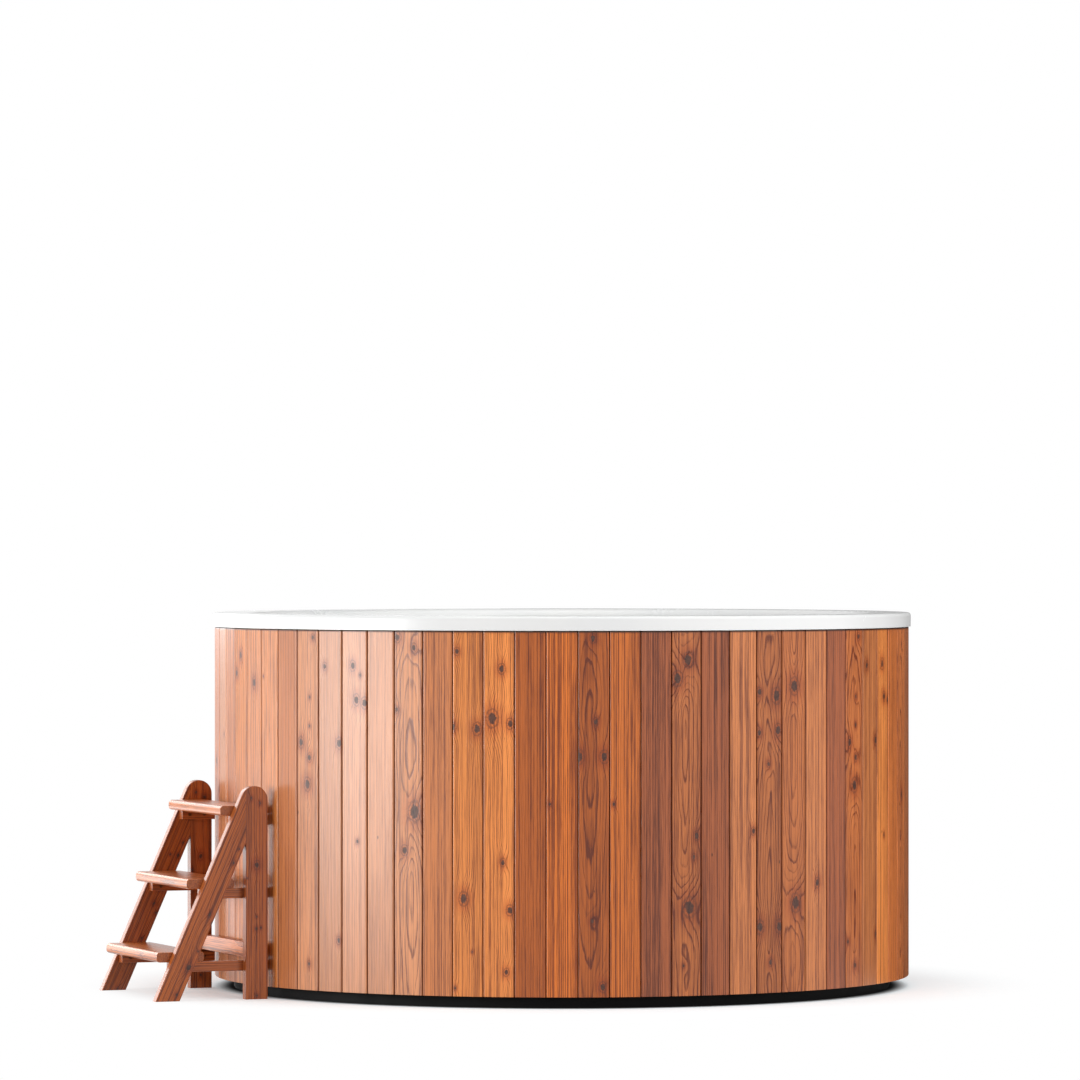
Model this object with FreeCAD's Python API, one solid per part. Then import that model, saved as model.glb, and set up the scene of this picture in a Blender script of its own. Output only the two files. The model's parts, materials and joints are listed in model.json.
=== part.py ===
import FreeCAD, Part
import math
import os

# Round cold plunge tub in cedar cladding, with a white moulded shell and a free-standing step ladder.
# Sizes are in millimetres and degrees. The tub's axis is Z, the floor is Z = 0 and the front faces -Y.
# A bearing on the tub is counted from the front (-Y) round towards +X.

# Cladding boards
clad_radius = 1000.0
stave_count = 72
panel_count = 9
first_groove_bearing = 2.353
stave_thickness = 24.0
stave_length = 1000.0
stave_bevel = 2.2
stave_side_gap = 0.15
clad_lift = 32.0

# Moulded shell and its rolled rim
shell_wall = 8.0
rim_overhang = 6.0
rim_height = 40.0
rim_shadow_gap = 2.0
rim_edge_radius = 9.0
rim_flat_width = 68.0
rim_roll_radius = 22.0
bench_height = 360.0
bench_back_setback = 110.0
bench_back_radius = 50.0
bench_depth = 315.0
bench_nose_radius = 30.0
footwell_lean = 15.0
footwell_corner_radius = 40.0

# Base and deck
tray_inset = 55.0
tray_floor = 6.0
tray_wall = 6.0
tray_height = 40.0
bearer_width = 45.0
bearer_height = 95.0
bearer_channel = 300.0
bearers_per_side = 3
bearer_edge_inset = 195.0
bearer_end_gap = 2.0
deck_thickness = 18.0
floor_foam = 53.0

# Wall frame
batten_thickness = 15.0
batten_height = 60.0
batten_top_margin = 14.0
stud_count = 12
stud_width = 44.0
stud_shell_gap = 5.0
rim_ring_thickness = 24.0
rim_ring_lip_clearance = 8.0
rim_ring_roll_clearance = 2.0
rib_thickness = 18.0
foam_seat_clearance = 0.5
saddle_clearance = 0.3

# Board screws
screw_radius = 2.25
screw_head_radius = 4.5
screw_head_height = 3.0
screw_bite = 15.0
screw_clearance = 0.1

# Pipework
pipe_radius = 24.0
pipe_wall = 3.0
socket_clearance = 0.2
socket_wall = 6.0
socket_depth = 30.0
board_hole_clearance = 2.0
port_plate_radius = 45.0
port_plate_thickness = 6.0
port_shoulder = 8.0
port_spigot_length = 52.0
hose_radius = 19.0
hose_bore_radius = 16.0
service_step_staves = 2

# Wall fittings for the chiller circuit
fitting_flange_radius = 50.0
fitting_flange_thickness = 8.0
fitting_gasket_depth = 4.0
gasket_inset = 2.0
fitting_tail_length = 60.0
fitting_bore_radius = 20.0
fitting_nut_radius = 44.0
fitting_nut_thickness = 11.0
suction_height = 150.0
suction_cover_wall = 3.0
suction_cover_plenum = 9.0
suction_slot_radius = 3.6
suction_slot_pitch = 12.0
suction_slot_rings = 3
return_height = 250.0
eyeball_radius = 24.0
eyeball_bore_radius = 9.0
eyeball_nose = 17.0
eyeball_clearance = 0.3
return_ring_thickness = 9.0
return_ring_radius = 40.0

# Drain
drain_flange_radius = 50.0
drain_flange_thickness = 6.0
drain_gasket_thickness = 2.0
drain_nut_radius = 42.0
drain_nut_thickness = 12.0
drain_recess_radius = 42.0
drain_recess_depth = 4.0
strainer_clearance = 0.4
strainer_thickness = 3.4
strainer_dome = 5.0
strainer_seat_clearance = 0.3
strainer_slot_radius = 2.9
strainer_slot_pitch = 10.0
strainer_slot_rings = 3
drain_deck_gap = 0.8
elbow_bend_radius = 45.0

# Drain valve
valve_stand_off = 3.0
valve_barrel_wall = 9.7
valve_plug_depth = 12.0
valve_ball_wall = 12.0
valve_ball_clearance = 0.3
valve_seat_thickness = 10.0
valve_seat_back = 0.6
valve_end_flange = 8.0
valve_spigot_length = 50.0
valve_stem_radius = 8.0
valve_neck_radius = 18.0
valve_neck_rise = 14.0
valve_hub_radius = 17.0
valve_hub_height = 20.0
valve_lever_length = 110.0
valve_lever_width = 24.0
valve_lever_thickness = 10.0

# Step ladder
ladder_turn = 21.35
ladder_width = 520.0
ladder_stock_width = 64.3
ladder_stock_thickness = 28.0
ladder_lean = 24.0
ladder_head_height = 595.0
ladder_head_overlap = 13.7
ladder_arris = 2.5
top_tread_drop = 55.0
first_tread_top = 135.0
tread_thickness = 28.0
tread_depth = 139.0
tread_nosings = (47.5, 50.0, 42.0)
tread_edge_radius = 10.0
top_tread_wall_gap = 3.0
top_tread_inset = 18.0
cleat_size = 28.0
cleat_front_inset = 3.0
brace_height = 42.0
brace_thickness = 28.0
brace_cleat_gap = 7.0
dowel_radius = 5.0
dowel_depth = 16.0
dowel_offset = 26.0
ladder_screw_bite = 18.0
ladder_screw_spacing = 22.0

# How far a cutting shape runs past the face that it cuts
cut_margin = 1.0

# Levels and radii that follow from the sizes above
stave_angle = 360.0 / stave_count
half_stave = math.radians(stave_angle / 2)
clad_face = clad_radius * math.cos(half_stave)
clad_back = clad_face - stave_thickness
clad_top = clad_lift + stave_length
rim_bottom = clad_top + rim_shadow_gap
rim_top = rim_bottom + rim_height
rim_radius = clad_radius + rim_overhang
wall_top_radius = rim_radius - rim_edge_radius - rim_flat_width - rim_roll_radius
bearer_top = tray_floor + bearer_height
deck_top = bearer_top + deck_thickness
shell_bottom = deck_top + floor_foam
footwell_floor = shell_bottom + shell_wall
bench_level = footwell_floor + bench_height
bench_back = clad_radius - bench_back_setback
bench_front = bench_back - bench_depth
footwell_radius = bench_front - footwell_lean
tray_radius = clad_radius - tray_inset
batten_inner = clad_back - batten_thickness
stud_inner = max(wall_top_radius, bench_back) + shell_wall + stud_shell_gap
rim_ring_top = rim_top - shell_wall
rim_ring_bottom = rim_ring_top - rim_ring_thickness
pipe_bore = pipe_radius - pipe_wall
socket_bore = pipe_radius + socket_clearance
socket_radius = socket_bore + socket_wall
drain_pipe_height = bearer_top - socket_radius - drain_deck_gap
valve_ball_radius = fitting_bore_radius + valve_ball_wall
valve_cavity = valve_ball_radius + valve_ball_clearance
valve_seat_outer = math.sqrt(valve_cavity ** 2 - fitting_bore_radius ** 2) + valve_seat_back
valve_barrel_radius = valve_cavity + valve_barrel_wall
valve_barrel_length = 2 * (valve_seat_outer + valve_plug_depth)
drain_stave = stave_count // 2 - 1
suction_stave = drain_stave - service_step_staves
return_stave = drain_stave + service_step_staves

origin = FreeCAD.Vector(0, 0, 0)
up = FreeCAD.Vector(0, 0, 1)
outward = FreeCAD.Vector(1, 0, 0)


def vec(x, y, z):
    return FreeCAD.Vector(x, y, z)


def save(node, *solids):
    """Write one node, a single solid or a group of separate ones."""
    shape = solids[0] if len(solids) == 1 else Part.makeCompound(list(solids))
    shape.exportStep("parts/" + node + ".step")
    print(node, len(shape.Solids), "solid(s)")


def turned_to(shape, bearing):
    """Turn a shape built along +X to a bearing on the tub."""
    turned = shape.copy()
    turned.rotate(origin, up, bearing - 90)
    return turned


def stave_bearing(index):
    return first_groove_bearing + (index + 0.5) * stave_angle


def rounded_loop(corners):
    """Closed wire in the XZ plane through (x, z, radius) corners, each rounded by its own radius."""
    count = len(corners)
    legs = []
    for i, (x, z, radius) in enumerate(corners):
        here = vec(x, 0, z)
        to_last = (vec(corners[i - 1][0], 0, corners[i - 1][1]) - here).normalize()
        following = corners[(i + 1) % count]
        to_next = (vec(following[0], 0, following[1]) - here).normalize()
        if radius <= 0:
            legs.append((here, here, here))
            continue
        half = to_last.getAngle(to_next) / 2
        reach = radius / math.tan(half)
        middle = (to_last + to_next).normalize()
        bulge = radius / math.sin(half) - radius
        legs.append((here + to_last * reach, here + middle * bulge, here + to_next * reach))
    edges = []
    for i, (start, middle, end) in enumerate(legs):
        if (end - start).Length > 1e-6:
            edges.append(Part.Arc(start, middle, end).toShape())
        next_start = legs[(i + 1) % count][0]
        if (next_start - end).Length > 1e-6:
            edges.append(Part.LineSegment(end, next_start).toShape())
    return Part.Wire(edges)


def revolved(corners):
    """Solid of revolution about Z from (x, z, radius) corners."""
    return Part.Face(rounded_loop(corners)).revolve(origin, up, 360)


def ring(inner, outer, bottom, height):
    solid = Part.makeCylinder(outer, height, vec(0, 0, bottom))
    return solid.cut(Part.makeCylinder(inner, height, vec(0, 0, bottom)))


def rod(radius, start, end, height=0.0, direction=outward):
    """Cylinder along a direction between two distances from the tub's axis."""
    return Part.makeCylinder(radius, end - start, direction * start + up * height, direction)


def tube(bore, radius, start, end, height=0.0):
    return rod(radius, start, end, height).cut(rod(bore, start, end, height))


def box_between(low, high):
    return Part.makeBox(high[0] - low[0], high[1] - low[1], high[2] - low[2], vec(*low))


def softened(solid, radius, wanted):
    """Round the edges of a solid that the test picks out."""
    edges = [edge for edge in solid.Edges if wanted(edge)]
    return solid.makeFillet(radius, edges)


# Moulded shell

def water_line():
    """Water side of the shell's section, from the drain out to the rim's lower edge."""
    return [
        (0.0, footwell_floor, 0.0),
        (footwell_radius, footwell_floor, footwell_corner_radius),
        (bench_front, bench_level, bench_nose_radius),
        (bench_back, bench_level, bench_back_radius),
        (wall_top_radius, rim_top, rim_roll_radius),
        (rim_radius, rim_top, rim_edge_radius),
        (rim_radius, rim_bottom, 0.0),
    ]


def set_back_line(distance):
    """The water side moved towards the dry side by a distance, with the radii to match."""
    path = water_line()
    moved = []
    for i, (x, z, radius) in enumerate(path):
        here = vec(x, 0, z)
        before = here - vec(path[i - 1][0], 0, path[i - 1][1]) if i else None
        after = vec(path[i + 1][0], 0, path[i + 1][1]) - here if i < len(path) - 1 else None
        before = (before or after).normalize()
        after = (after or before).normalize()
        normal_before = vec(before.z, 0, -before.x)
        normal_after = vec(after.z, 0, -after.x)
        mitre = (normal_before + normal_after).normalize()
        place = here + mitre * (distance / mitre.dot(normal_after))
        turns_left = before.x * after.z - before.z * after.x > 0
        new_radius = radius + distance if turns_left else max(radius - distance, 0.5)
        moved.append((place.x, place.z, new_radius if radius > 0 else 0.0))
    return moved


def water_radius(height):
    """Radius of the shell's water side on the bench's back wall or the footwell's wall."""
    if height > bench_level:
        share = (height - bench_level) / (rim_top - bench_level)
        return bench_back + (wall_top_radius - bench_back) * share
    share = (height - footwell_floor) / bench_height
    return footwell_radius + (bench_front - footwell_radius) * share


def plain_shell(extra=0.0):
    """Shell with no holes, grown on both sides by an extra thickness."""
    return revolved(set_back_line(-extra) + set_back_line(shell_wall + extra)[::-1])


def inner_shell(blank):
    """Shell with its holes for the drain and the two wall fittings."""
    hole = pipe_radius + board_hole_clearance / 2
    shell = blank.cut(rod(hole, shell_bottom - shell_wall, footwell_floor + shell_wall, 0, up))
    for stave, height, inner in wall_fittings():
        radius = socket_radius + board_hole_clearance / 2
        tail_hole = rod(radius, inner - shell_wall, inner + 2 * shell_wall, height)
        shell = shell.cut(turned_to(tail_hole, stave_bearing(stave)))
    return shell


def wall_fittings():
    """Stave, height and water-side radius of the suction and return fittings."""
    low = footwell_floor + suction_height
    high = bench_level + return_height
    return (suction_stave, low, water_radius(low)), (return_stave, high, water_radius(high))


def pipe_places():
    """Stave and height where each of the three pipes leaves the cladding."""
    return [(drain_stave, drain_pipe_height)] + [(index, height) for index, height, inner in wall_fittings()]


def pipe_ways(radius, start, end):
    """Cutting rods that leave room for the three pipes between two distances from the axis."""
    return [placed_fitting(rod(radius, start, end), index, height) for index, height in pipe_places()]


# Cladding and what it is fixed to

def batten_levels():
    """Lower edges of the three batten rings."""
    low = bearer_top
    high = clad_top - batten_top_margin - batten_height
    return low, (low + high) / 2, high


def stave_screw(level):
    """Countersunk screw driven outwards through a batten into a board."""
    height = level + batten_height / 2
    start = batten_inner
    end = clad_back + screw_bite
    place = vec(start, 0, height)
    head = Part.makeCone(screw_head_radius, screw_radius, screw_head_height, place, outward)
    return head.fuse(rod(screw_radius, start, end, height)).removeSplitter()


def stave_screw_hole(level):
    height = level + batten_height / 2
    head = Part.makeCone(
        screw_head_radius + screw_clearance, screw_radius + screw_clearance, screw_head_height,
        vec(batten_inner, 0, height), outward)
    end = clad_back + screw_bite + cut_margin
    return head.fuse(rod(screw_radius + screw_clearance, batten_inner, end, height))


def stave():
    """One board along +X with bevelled outer edges and blind screw holes."""
    def side(x):
        return x * math.tan(half_stave) - stave_side_gap
    shoulder = clad_face - stave_bevel
    nose = side(clad_face) - stave_bevel
    right = [(clad_back, side(clad_back)), (shoulder, side(shoulder)), (clad_face, nose)]
    left = [(x, -y) for x, y in reversed(right)]
    points = [vec(x, y, clad_lift) for x, y in right + left]
    board = Part.Face(Part.makePolygon(points + points[:1])).extrude(up * stave_length)
    return board.cut([stave_screw_hole(level) for level in batten_levels()])


def cladding():
    """Boards in equal panels, with holes for the three pipes at the back."""
    holes = dict(pipe_places())
    hole_radius = pipe_radius + board_hole_clearance
    board = stave()
    for panel in range(panel_count):
        first = panel * stave_count // panel_count
        last = (panel + 1) * stave_count // panel_count
        boards = []
        for index in range(first, last):
            piece = board
            if index in holes:
                hole = rod(hole_radius, clad_back - cut_margin, clad_face + cut_margin, holes[index])
                piece = board.cut(hole)
            boards.append(turned_to(piece, stave_bearing(index)))
        save("cladding_panel_%d" % (panel + 1), *boards)


def batten_ring(level):
    """Ring with a flat on the outside for each board and a round inside."""
    corner = clad_back / math.cos(half_stave)
    points = []
    for index in range(stave_count + 1):
        angle = math.radians(first_groove_bearing + index * stave_angle - 90)
        points.append(vec(corner * math.cos(angle), corner * math.sin(angle), level))
    blank = Part.Face(Part.makePolygon(points)).extrude(up * batten_height)
    blank = blank.cut(Part.makeCylinder(batten_inner, batten_height, vec(0, 0, level)))
    hole = stave_screw_hole(level)
    blank = blank.cut([turned_to(hole, stave_bearing(index)) for index in range(stave_count)])
    ways = pipe_ways(pipe_radius + board_hole_clearance, batten_inner - batten_thickness, corner + cut_margin)
    return blank.cut(ways)


def stave_screws():
    screws = []
    for level in batten_levels():
        screw = stave_screw(level)
        for index in range(stave_count):
            screws.append(turned_to(screw, stave_bearing(index)))
    return screws


def stud_bearing(index):
    return first_groove_bearing + index * 360.0 / stud_count


def wall_studs():
    """Upright studs between the deck and the rim's ring, on the lines between boards."""
    outer = math.sqrt(batten_inner ** 2 - (stud_width / 2) ** 2)
    half = stud_width / 2
    stud = box_between((stud_inner, -half, deck_top), (outer, half, rim_ring_bottom))
    ways = nut_ways(stud_inner - shell_wall, batten_inner + cut_margin)
    return [turned_to(stud, stud_bearing(index)).cut(ways) for index in range(stud_count)]


def nut_ways(start, end):
    return pipe_ways(fitting_nut_radius + board_hole_clearance, start, end)


def wall_insulation(studs):
    """Curved foam panels that fill the bays between the studs."""
    section = Part.makePolygon([
        vec(stud_inner, 0, deck_top), vec(batten_inner - foam_seat_clearance, 0, deck_top),
        vec(batten_inner - foam_seat_clearance, 0, rim_ring_bottom), vec(stud_inner, 0, rim_ring_bottom),
        vec(stud_inner, 0, deck_top)])
    foam = Part.Face(section).revolve(origin, up, 360).cut(studs)
    return foam.cut(nut_ways(stud_inner - shell_wall, batten_inner + cut_margin)).Solids


def rim_ring():
    inner = wall_top_radius + rim_roll_radius + rim_ring_roll_clearance
    outer = rim_radius - shell_wall - rim_ring_lip_clearance
    return ring(inner, outer, rim_ring_bottom, rim_ring_thickness)


def bench_ribs():
    """Radial plates that carry the bench on the deck."""
    inner = bench_front + bench_nose_radius
    outer = bench_back - bench_back_radius - shell_wall
    half = rib_thickness / 2
    rib = box_between((inner, -half, deck_top), (outer, half, bench_level - shell_wall))
    ways = nut_ways(inner - cut_margin, outer + cut_margin)
    return [turned_to(rib, stud_bearing(index)).cut(ways) for index in range(stud_count)]


# Base

def base_tray():
    tray = Part.makeCylinder(tray_radius, tray_height)
    return tray.cut(Part.makeCylinder(tray_radius - tray_wall, tray_height, vec(0, 0, tray_floor)))


def base_bearers():
    """Timbers on each side of the middle channel that the drain pipe runs in."""
    bearers = []
    reach = tray_radius - tray_wall - bearer_end_gap
    first = bearer_channel / 2
    last = tray_radius - bearer_edge_inset
    for index in range(bearers_per_side):
        middle = first + (last - first) * index / (bearers_per_side - 1)
        half = math.sqrt(reach ** 2 - (middle + bearer_width / 2) ** 2)
        for side in (-1, 1):
            low = (side * middle - bearer_width / 2, -half, tray_floor)
            high = (side * middle + bearer_width / 2, half, bearer_top)
            bearers.append(box_between(low, high))
    return bearers


def base_deck():
    """Round deck with a hole that the drain's elbow passes through."""
    deck = Part.makeCylinder(batten_inner, deck_thickness, vec(0, 0, bearer_top))
    return deck.cut(rod(elbow_bend_radius + board_hole_clearance, bearer_top, deck_top, 0, up))


def floor_insulation():
    return ring(drain_nut_radius + board_hole_clearance, footwell_radius - footwell_corner_radius,
                deck_top, floor_foam)


# Pipes and wall fittings

def saddle(blank, solid, bearing, height, keep_inside):
    """Place a solid at a fitting and trim it to the shell's wall, keeping the water or the dry side."""
    placed = solid.copy()
    placed.translate(up * height)
    placed = turned_to(placed, bearing).cut(blank)

    def distance(piece):
        return math.hypot(piece.CenterOfMass.x, piece.CenterOfMass.y)
    pieces = sorted(placed.Solids, key=distance)
    return pieces[0] if keep_inside else pieces[-1]


def fitting_parts(blank, index, height, inner):
    """Gasket and locknut that clamp a fitting to the wall."""
    pad = tube(socket_radius + socket_clearance, fitting_flange_radius - gasket_inset,
               inner - fitting_gasket_depth, inner + shell_wall / 2)
    nut = tube(socket_radius + socket_clearance, fitting_nut_radius,
               inner + shell_wall / 2, inner + shell_wall + fitting_nut_thickness)
    bearing = stave_bearing(index)
    return saddle(blank, pad, bearing, height, True), saddle(blank, nut, bearing, height, False)


def fitting_body(inner, front_depth):
    """Flange and tail of a wall fitting along +X, with a socket for the pipe."""
    back = inner - fitting_gasket_depth
    tail_end = inner + fitting_tail_length
    body = rod(fitting_flange_radius, back - front_depth, back)
    body = body.fuse(rod(socket_radius, back, tail_end)).removeSplitter()
    body = body.cut(rod(fitting_bore_radius, back - front_depth, tail_end))
    return body.cut(rod(socket_bore, tail_end - socket_depth, tail_end))


def placed_fitting(solid, index, height):
    moved = solid.copy()
    moved.translate(up * height)
    return turned_to(moved, stave_bearing(index))


def slot_places(pitch, rings):
    """Middles of a hole pattern: one in the middle, then rings of six, twelve and so on."""
    places = [(0.0, 0.0)]
    for number in range(1, rings + 1):
        for step in range(6 * number):
            angle = 2 * math.pi * step / (6 * number)
            places.append((number * pitch * math.cos(angle), number * pitch * math.sin(angle)))
    return places


def suction_cover(inner):
    """Perforated cup that keeps hands and hair off the suction."""
    back = inner - fitting_gasket_depth
    front = back - fitting_flange_thickness - suction_cover_plenum
    outer = fitting_flange_radius + socket_clearance + suction_cover_wall
    cup = rod(outer, front - suction_cover_wall, back)
    cup = cup.cut(rod(fitting_flange_radius + socket_clearance, front, back))
    slots = []
    for y, z in slot_places(suction_slot_pitch, suction_slot_rings):
        slot = rod(suction_slot_radius, front - suction_cover_wall, front)
        slot.translate(vec(0, y, z))
        slots.append(slot)
    return cup.cut(slots)


def return_body(inner):
    """Return flange with a round seat for the eyeball."""
    front = inner - fitting_gasket_depth - fitting_flange_thickness
    seat = Part.makeSphere(eyeball_radius + eyeball_clearance, vec(front, 0, 0), outward)
    return fitting_body(inner, fitting_flange_thickness).cut(seat)


def return_ring(inner):
    """Retaining ring that holds the eyeball in its seat."""
    front = inner - fitting_gasket_depth - fitting_flange_thickness
    collar = rod(return_ring_radius, front - return_ring_thickness, front)
    return collar.cut(Part.makeSphere(eyeball_radius + eyeball_clearance, vec(front, 0, 0), outward))


def return_eyeball(inner):
    """Swivelling ball with a jet bore and a flat nose."""
    front = inner - fitting_gasket_depth - fitting_flange_thickness
    ball = Part.makeSphere(eyeball_radius, vec(front, 0, 0), outward)
    ball = ball.cut(rod(eyeball_radius + cut_margin, front - 2 * eyeball_radius, front - eyeball_nose))
    return ball.cut(rod(eyeball_bore_radius, front - 2 * eyeball_radius, front + 2 * eyeball_radius))


def port_pipe(inner):
    """Pipe from a fitting's socket out through the cladding, stepped down to a hose spigot."""
    start = inner + fitting_tail_length - socket_depth
    shoulder = clad_face + port_plate_thickness + port_shoulder
    end = shoulder + port_spigot_length
    pipe = rod(pipe_radius, start, shoulder).fuse(rod(hose_radius, shoulder, end)).removeSplitter()
    pipe = pipe.cut(rod(pipe_bore, start, shoulder - pipe_wall))
    return pipe.cut(rod(hose_bore_radius, start, end))


def port_plates():
    """Cover plates where the three pipes leave the cladding."""
    outer = clad_face + port_plate_thickness
    plate = tube(pipe_radius + socket_clearance, port_plate_radius, clad_face, outer)
    return [placed_fitting(plate, index, height) for index, height in pipe_places()]


# Drain

def drain_flange():
    under = footwell_floor + drain_gasket_thickness
    top = under + drain_flange_thickness
    flange = Part.makeCylinder(drain_flange_radius, drain_flange_thickness, vec(0, 0, under))

    def upper_edge(edge):
        return abs(edge.BoundBox.ZMin - top) < 0.01
    flange = softened(flange, drain_flange_thickness / 3, upper_edge)
    tail_end = drain_pipe_height + elbow_bend_radius
    flange = flange.fuse(rod(pipe_radius, tail_end, under, 0, up))
    flange = flange.cut(rod(pipe_bore, tail_end, top, 0, up))
    return flange.cut(rod(drain_recess_radius, top - drain_recess_depth, top, 0, up))


def drain_gasket():
    return ring(pipe_radius + socket_clearance, drain_flange_radius, footwell_floor, drain_gasket_thickness)


def drain_locknut():
    bottom = shell_bottom - drain_nut_thickness
    return ring(pipe_radius + socket_clearance, drain_nut_radius, bottom, drain_nut_thickness)


def drain_strainer():
    """Perforated domed disc that lies in the flange's recess and lifts out."""
    seat = footwell_floor + drain_gasket_thickness + drain_flange_thickness - drain_recess_depth
    seat = seat + strainer_seat_clearance
    outer = drain_recess_radius - strainer_clearance
    rise = strainer_thickness + strainer_dome
    sphere = (outer ** 2 + strainer_dome ** 2) / (2 * strainer_dome)
    disc = Part.makeCylinder(outer, rise, vec(0, 0, seat))
    disc = disc.common(Part.makeSphere(sphere, vec(0, 0, seat + rise - sphere)))
    slots = []
    for x, y in slot_places(strainer_slot_pitch, strainer_slot_rings):
        slots.append(Part.makeCylinder(strainer_slot_radius, rise, vec(x, y, seat)))
    return disc.cut(slots)


def elbow_solid(radius, socket):
    """Quarter bend from straight up at the axis to straight out, with a straight socket at each end."""
    level = drain_pipe_height + elbow_bend_radius
    middle = vec(elbow_bend_radius, 0, level)
    bend = Part.makeTorus(elbow_bend_radius, radius, middle, vec(0, 1, 0), 0, 360, 360)
    past = radius + cut_margin
    corner = box_between((-past, -past, drain_pipe_height - past), (elbow_bend_radius, past, level))
    bend = bend.common(corner)
    rise = rod(socket, level, level + socket_depth, 0, up)
    run = rod(socket, elbow_bend_radius, elbow_bend_radius + socket_depth, drain_pipe_height)
    return bend, rise, run


def drain_elbow():
    outside = elbow_solid(socket_radius, socket_radius)
    body = outside[0].fuse(outside[1:]).removeSplitter()
    for part in elbow_solid(pipe_bore, socket_bore):
        body = body.cut(part)
    return turned_to(body, stave_bearing(drain_stave))


def valve_start():
    return clad_face + port_plate_thickness + valve_stand_off


def valve_middle():
    return valve_start() + socket_depth + valve_barrel_length / 2


def drain_pipe():
    end = valve_start() + socket_depth - socket_clearance
    pipe = tube(pipe_bore, pipe_radius, elbow_bend_radius, end)
    return placed_fitting(pipe, drain_stave, drain_pipe_height)


def valve_body():
    """Barrel with a socket for the pipe, a cavity for the ball and a neck for its stem."""
    start = valve_start()
    middle = valve_middle()
    barrel_end = middle + valve_barrel_length / 2
    body = rod(socket_radius, start, start + socket_depth)
    body = body.fuse(rod(valve_barrel_radius, start + socket_depth, barrel_end))
    neck = Part.makeCylinder(valve_neck_radius, valve_barrel_radius + valve_neck_rise, vec(middle, 0, 0))
    body = body.fuse(neck).removeSplitter()
    seat_start = middle - valve_seat_outer
    body = body.cut(rod(valve_cavity, seat_start, barrel_end))
    body = body.cut(rod(fitting_bore_radius, start, seat_start))
    body = body.cut(rod(socket_bore, start, start + socket_depth))
    stem_hole = valve_stem_radius + valve_ball_clearance
    return body.cut(Part.makeCylinder(stem_hole, valve_barrel_radius + valve_neck_rise, vec(middle, 0, 0)))


def valve_seats():
    """Two soft rings that the ball turns between."""
    middle = valve_middle()
    hollow = Part.makeSphere(valve_cavity, vec(middle, 0, 0), outward)
    seats = []
    for start in (middle - valve_seat_outer, middle + valve_seat_outer - valve_seat_thickness):
        seat = tube(fitting_bore_radius, valve_cavity, start, start + valve_seat_thickness)
        seats.append(placed_fitting(seat.cut(hollow), drain_stave, drain_pipe_height))
    return seats


def valve_ball():
    """Bored ball and its stem, shut: the bore lies across the pipe."""
    middle = valve_middle()
    ball = Part.makeSphere(valve_ball_radius, vec(middle, 0, 0))
    stem_top = valve_barrel_radius + valve_neck_rise + valve_hub_height
    ball = ball.fuse(Part.makeCylinder(valve_stem_radius, stem_top, vec(middle, 0, 0)))
    bore_start = vec(middle, -2 * valve_ball_radius, 0)
    bore = Part.makeCylinder(fitting_bore_radius, 4 * valve_ball_radius, bore_start, vec(0, 1, 0))
    return ball.cut(bore)


def valve_end():
    """End piece that closes the barrel and carries the outlet spigot."""
    barrel_end = valve_middle() + valve_barrel_length / 2
    plug_start = valve_middle() + valve_seat_outer
    flange_end = barrel_end + valve_end_flange
    end = rod(valve_cavity - socket_clearance / 2, plug_start, barrel_end)
    end = end.fuse(rod(valve_barrel_radius, barrel_end, flange_end))
    end = end.fuse(rod(hose_radius, flange_end, flange_end + valve_spigot_length)).removeSplitter()
    end = end.cut(rod(fitting_bore_radius, plug_start, barrel_end))
    return end.cut(rod(hose_bore_radius, plug_start, flange_end + valve_spigot_length))


def valve_handle():
    """Lever on the stem, lying across the pipe when shut."""
    middle = valve_middle()
    base = valve_barrel_radius + valve_neck_rise + valve_ball_clearance
    hub = Part.makeCylinder(valve_hub_radius, valve_hub_height, vec(middle, 0, base))
    lever_bottom = base + (valve_hub_height - valve_lever_thickness) / 2
    half = valve_lever_width / 2
    lever = box_between((middle - half, half - valve_lever_length, lever_bottom),
                        (middle + half, 0, lever_bottom + valve_lever_thickness))
    tip = Part.makeCylinder(half, valve_lever_thickness, vec(middle, half - valve_lever_length, lever_bottom))
    handle = hub.fuse([lever, tip]).removeSplitter()
    return handle.cut(Part.makeCylinder(valve_stem_radius, valve_hub_height, vec(middle, 0, base)))


# Step ladder, built with X outwards from the posts' rear plane, Y to the climber's right and Z up

ladder_slope = math.tan(math.radians(ladder_lean))
ladder_inner = ladder_width / 2 - ladder_stock_thickness
ladder_foot = ladder_stock_width / math.cos(math.radians(ladder_lean))
head_radius = (ladder_stock_width + ladder_head_overlap) / 2
head_level = ladder_head_height - head_radius
ladder_toe = ladder_slope * head_level + head_radius * (1 + 1 / math.cos(math.radians(ladder_lean)))
brace_bottom = first_tread_top - tread_thickness + brace_cleat_gap
tread_rise = (ladder_head_height - top_tread_drop - first_tread_top) / (len(tread_nosings) - 1)


def ladder_back():
    """Distance of the posts' rear plane from the tub's axis: as near as treads and cleats allow."""
    for_tread = clad_radius + top_tread_wall_gap - top_tread_inset
    cleat_edge = ladder_inner - cleat_size
    for_cleats = math.sqrt(clad_radius ** 2 - cleat_edge ** 2) + top_tread_wall_gap
    return max(for_tread, for_cleats)


def ladder_placed(solid):
    moved = solid.copy()
    moved.translate(vec(ladder_back(), 0, 0))
    moved.rotate(origin, up, 180 + ladder_turn)
    return moved


def stringer_front(height):
    return ladder_toe - ladder_slope * height


def head_height(distance):
    """Height of the rounded head that post and stringer share."""
    return head_level + math.sqrt(head_radius ** 2 - (distance - head_radius) ** 2)


def ladder_side(edges, side):
    """Extrude a side profile to the stock's thickness on the right (+1) or left (-1) frame."""
    face = Part.Face(Part.Wire(edges))
    start = ladder_inner if side > 0 else -ladder_inner - ladder_stock_thickness
    solid = face.extrude(vec(0, ladder_stock_thickness, 0))
    solid.translate(vec(0, start, 0))
    return solid


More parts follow.
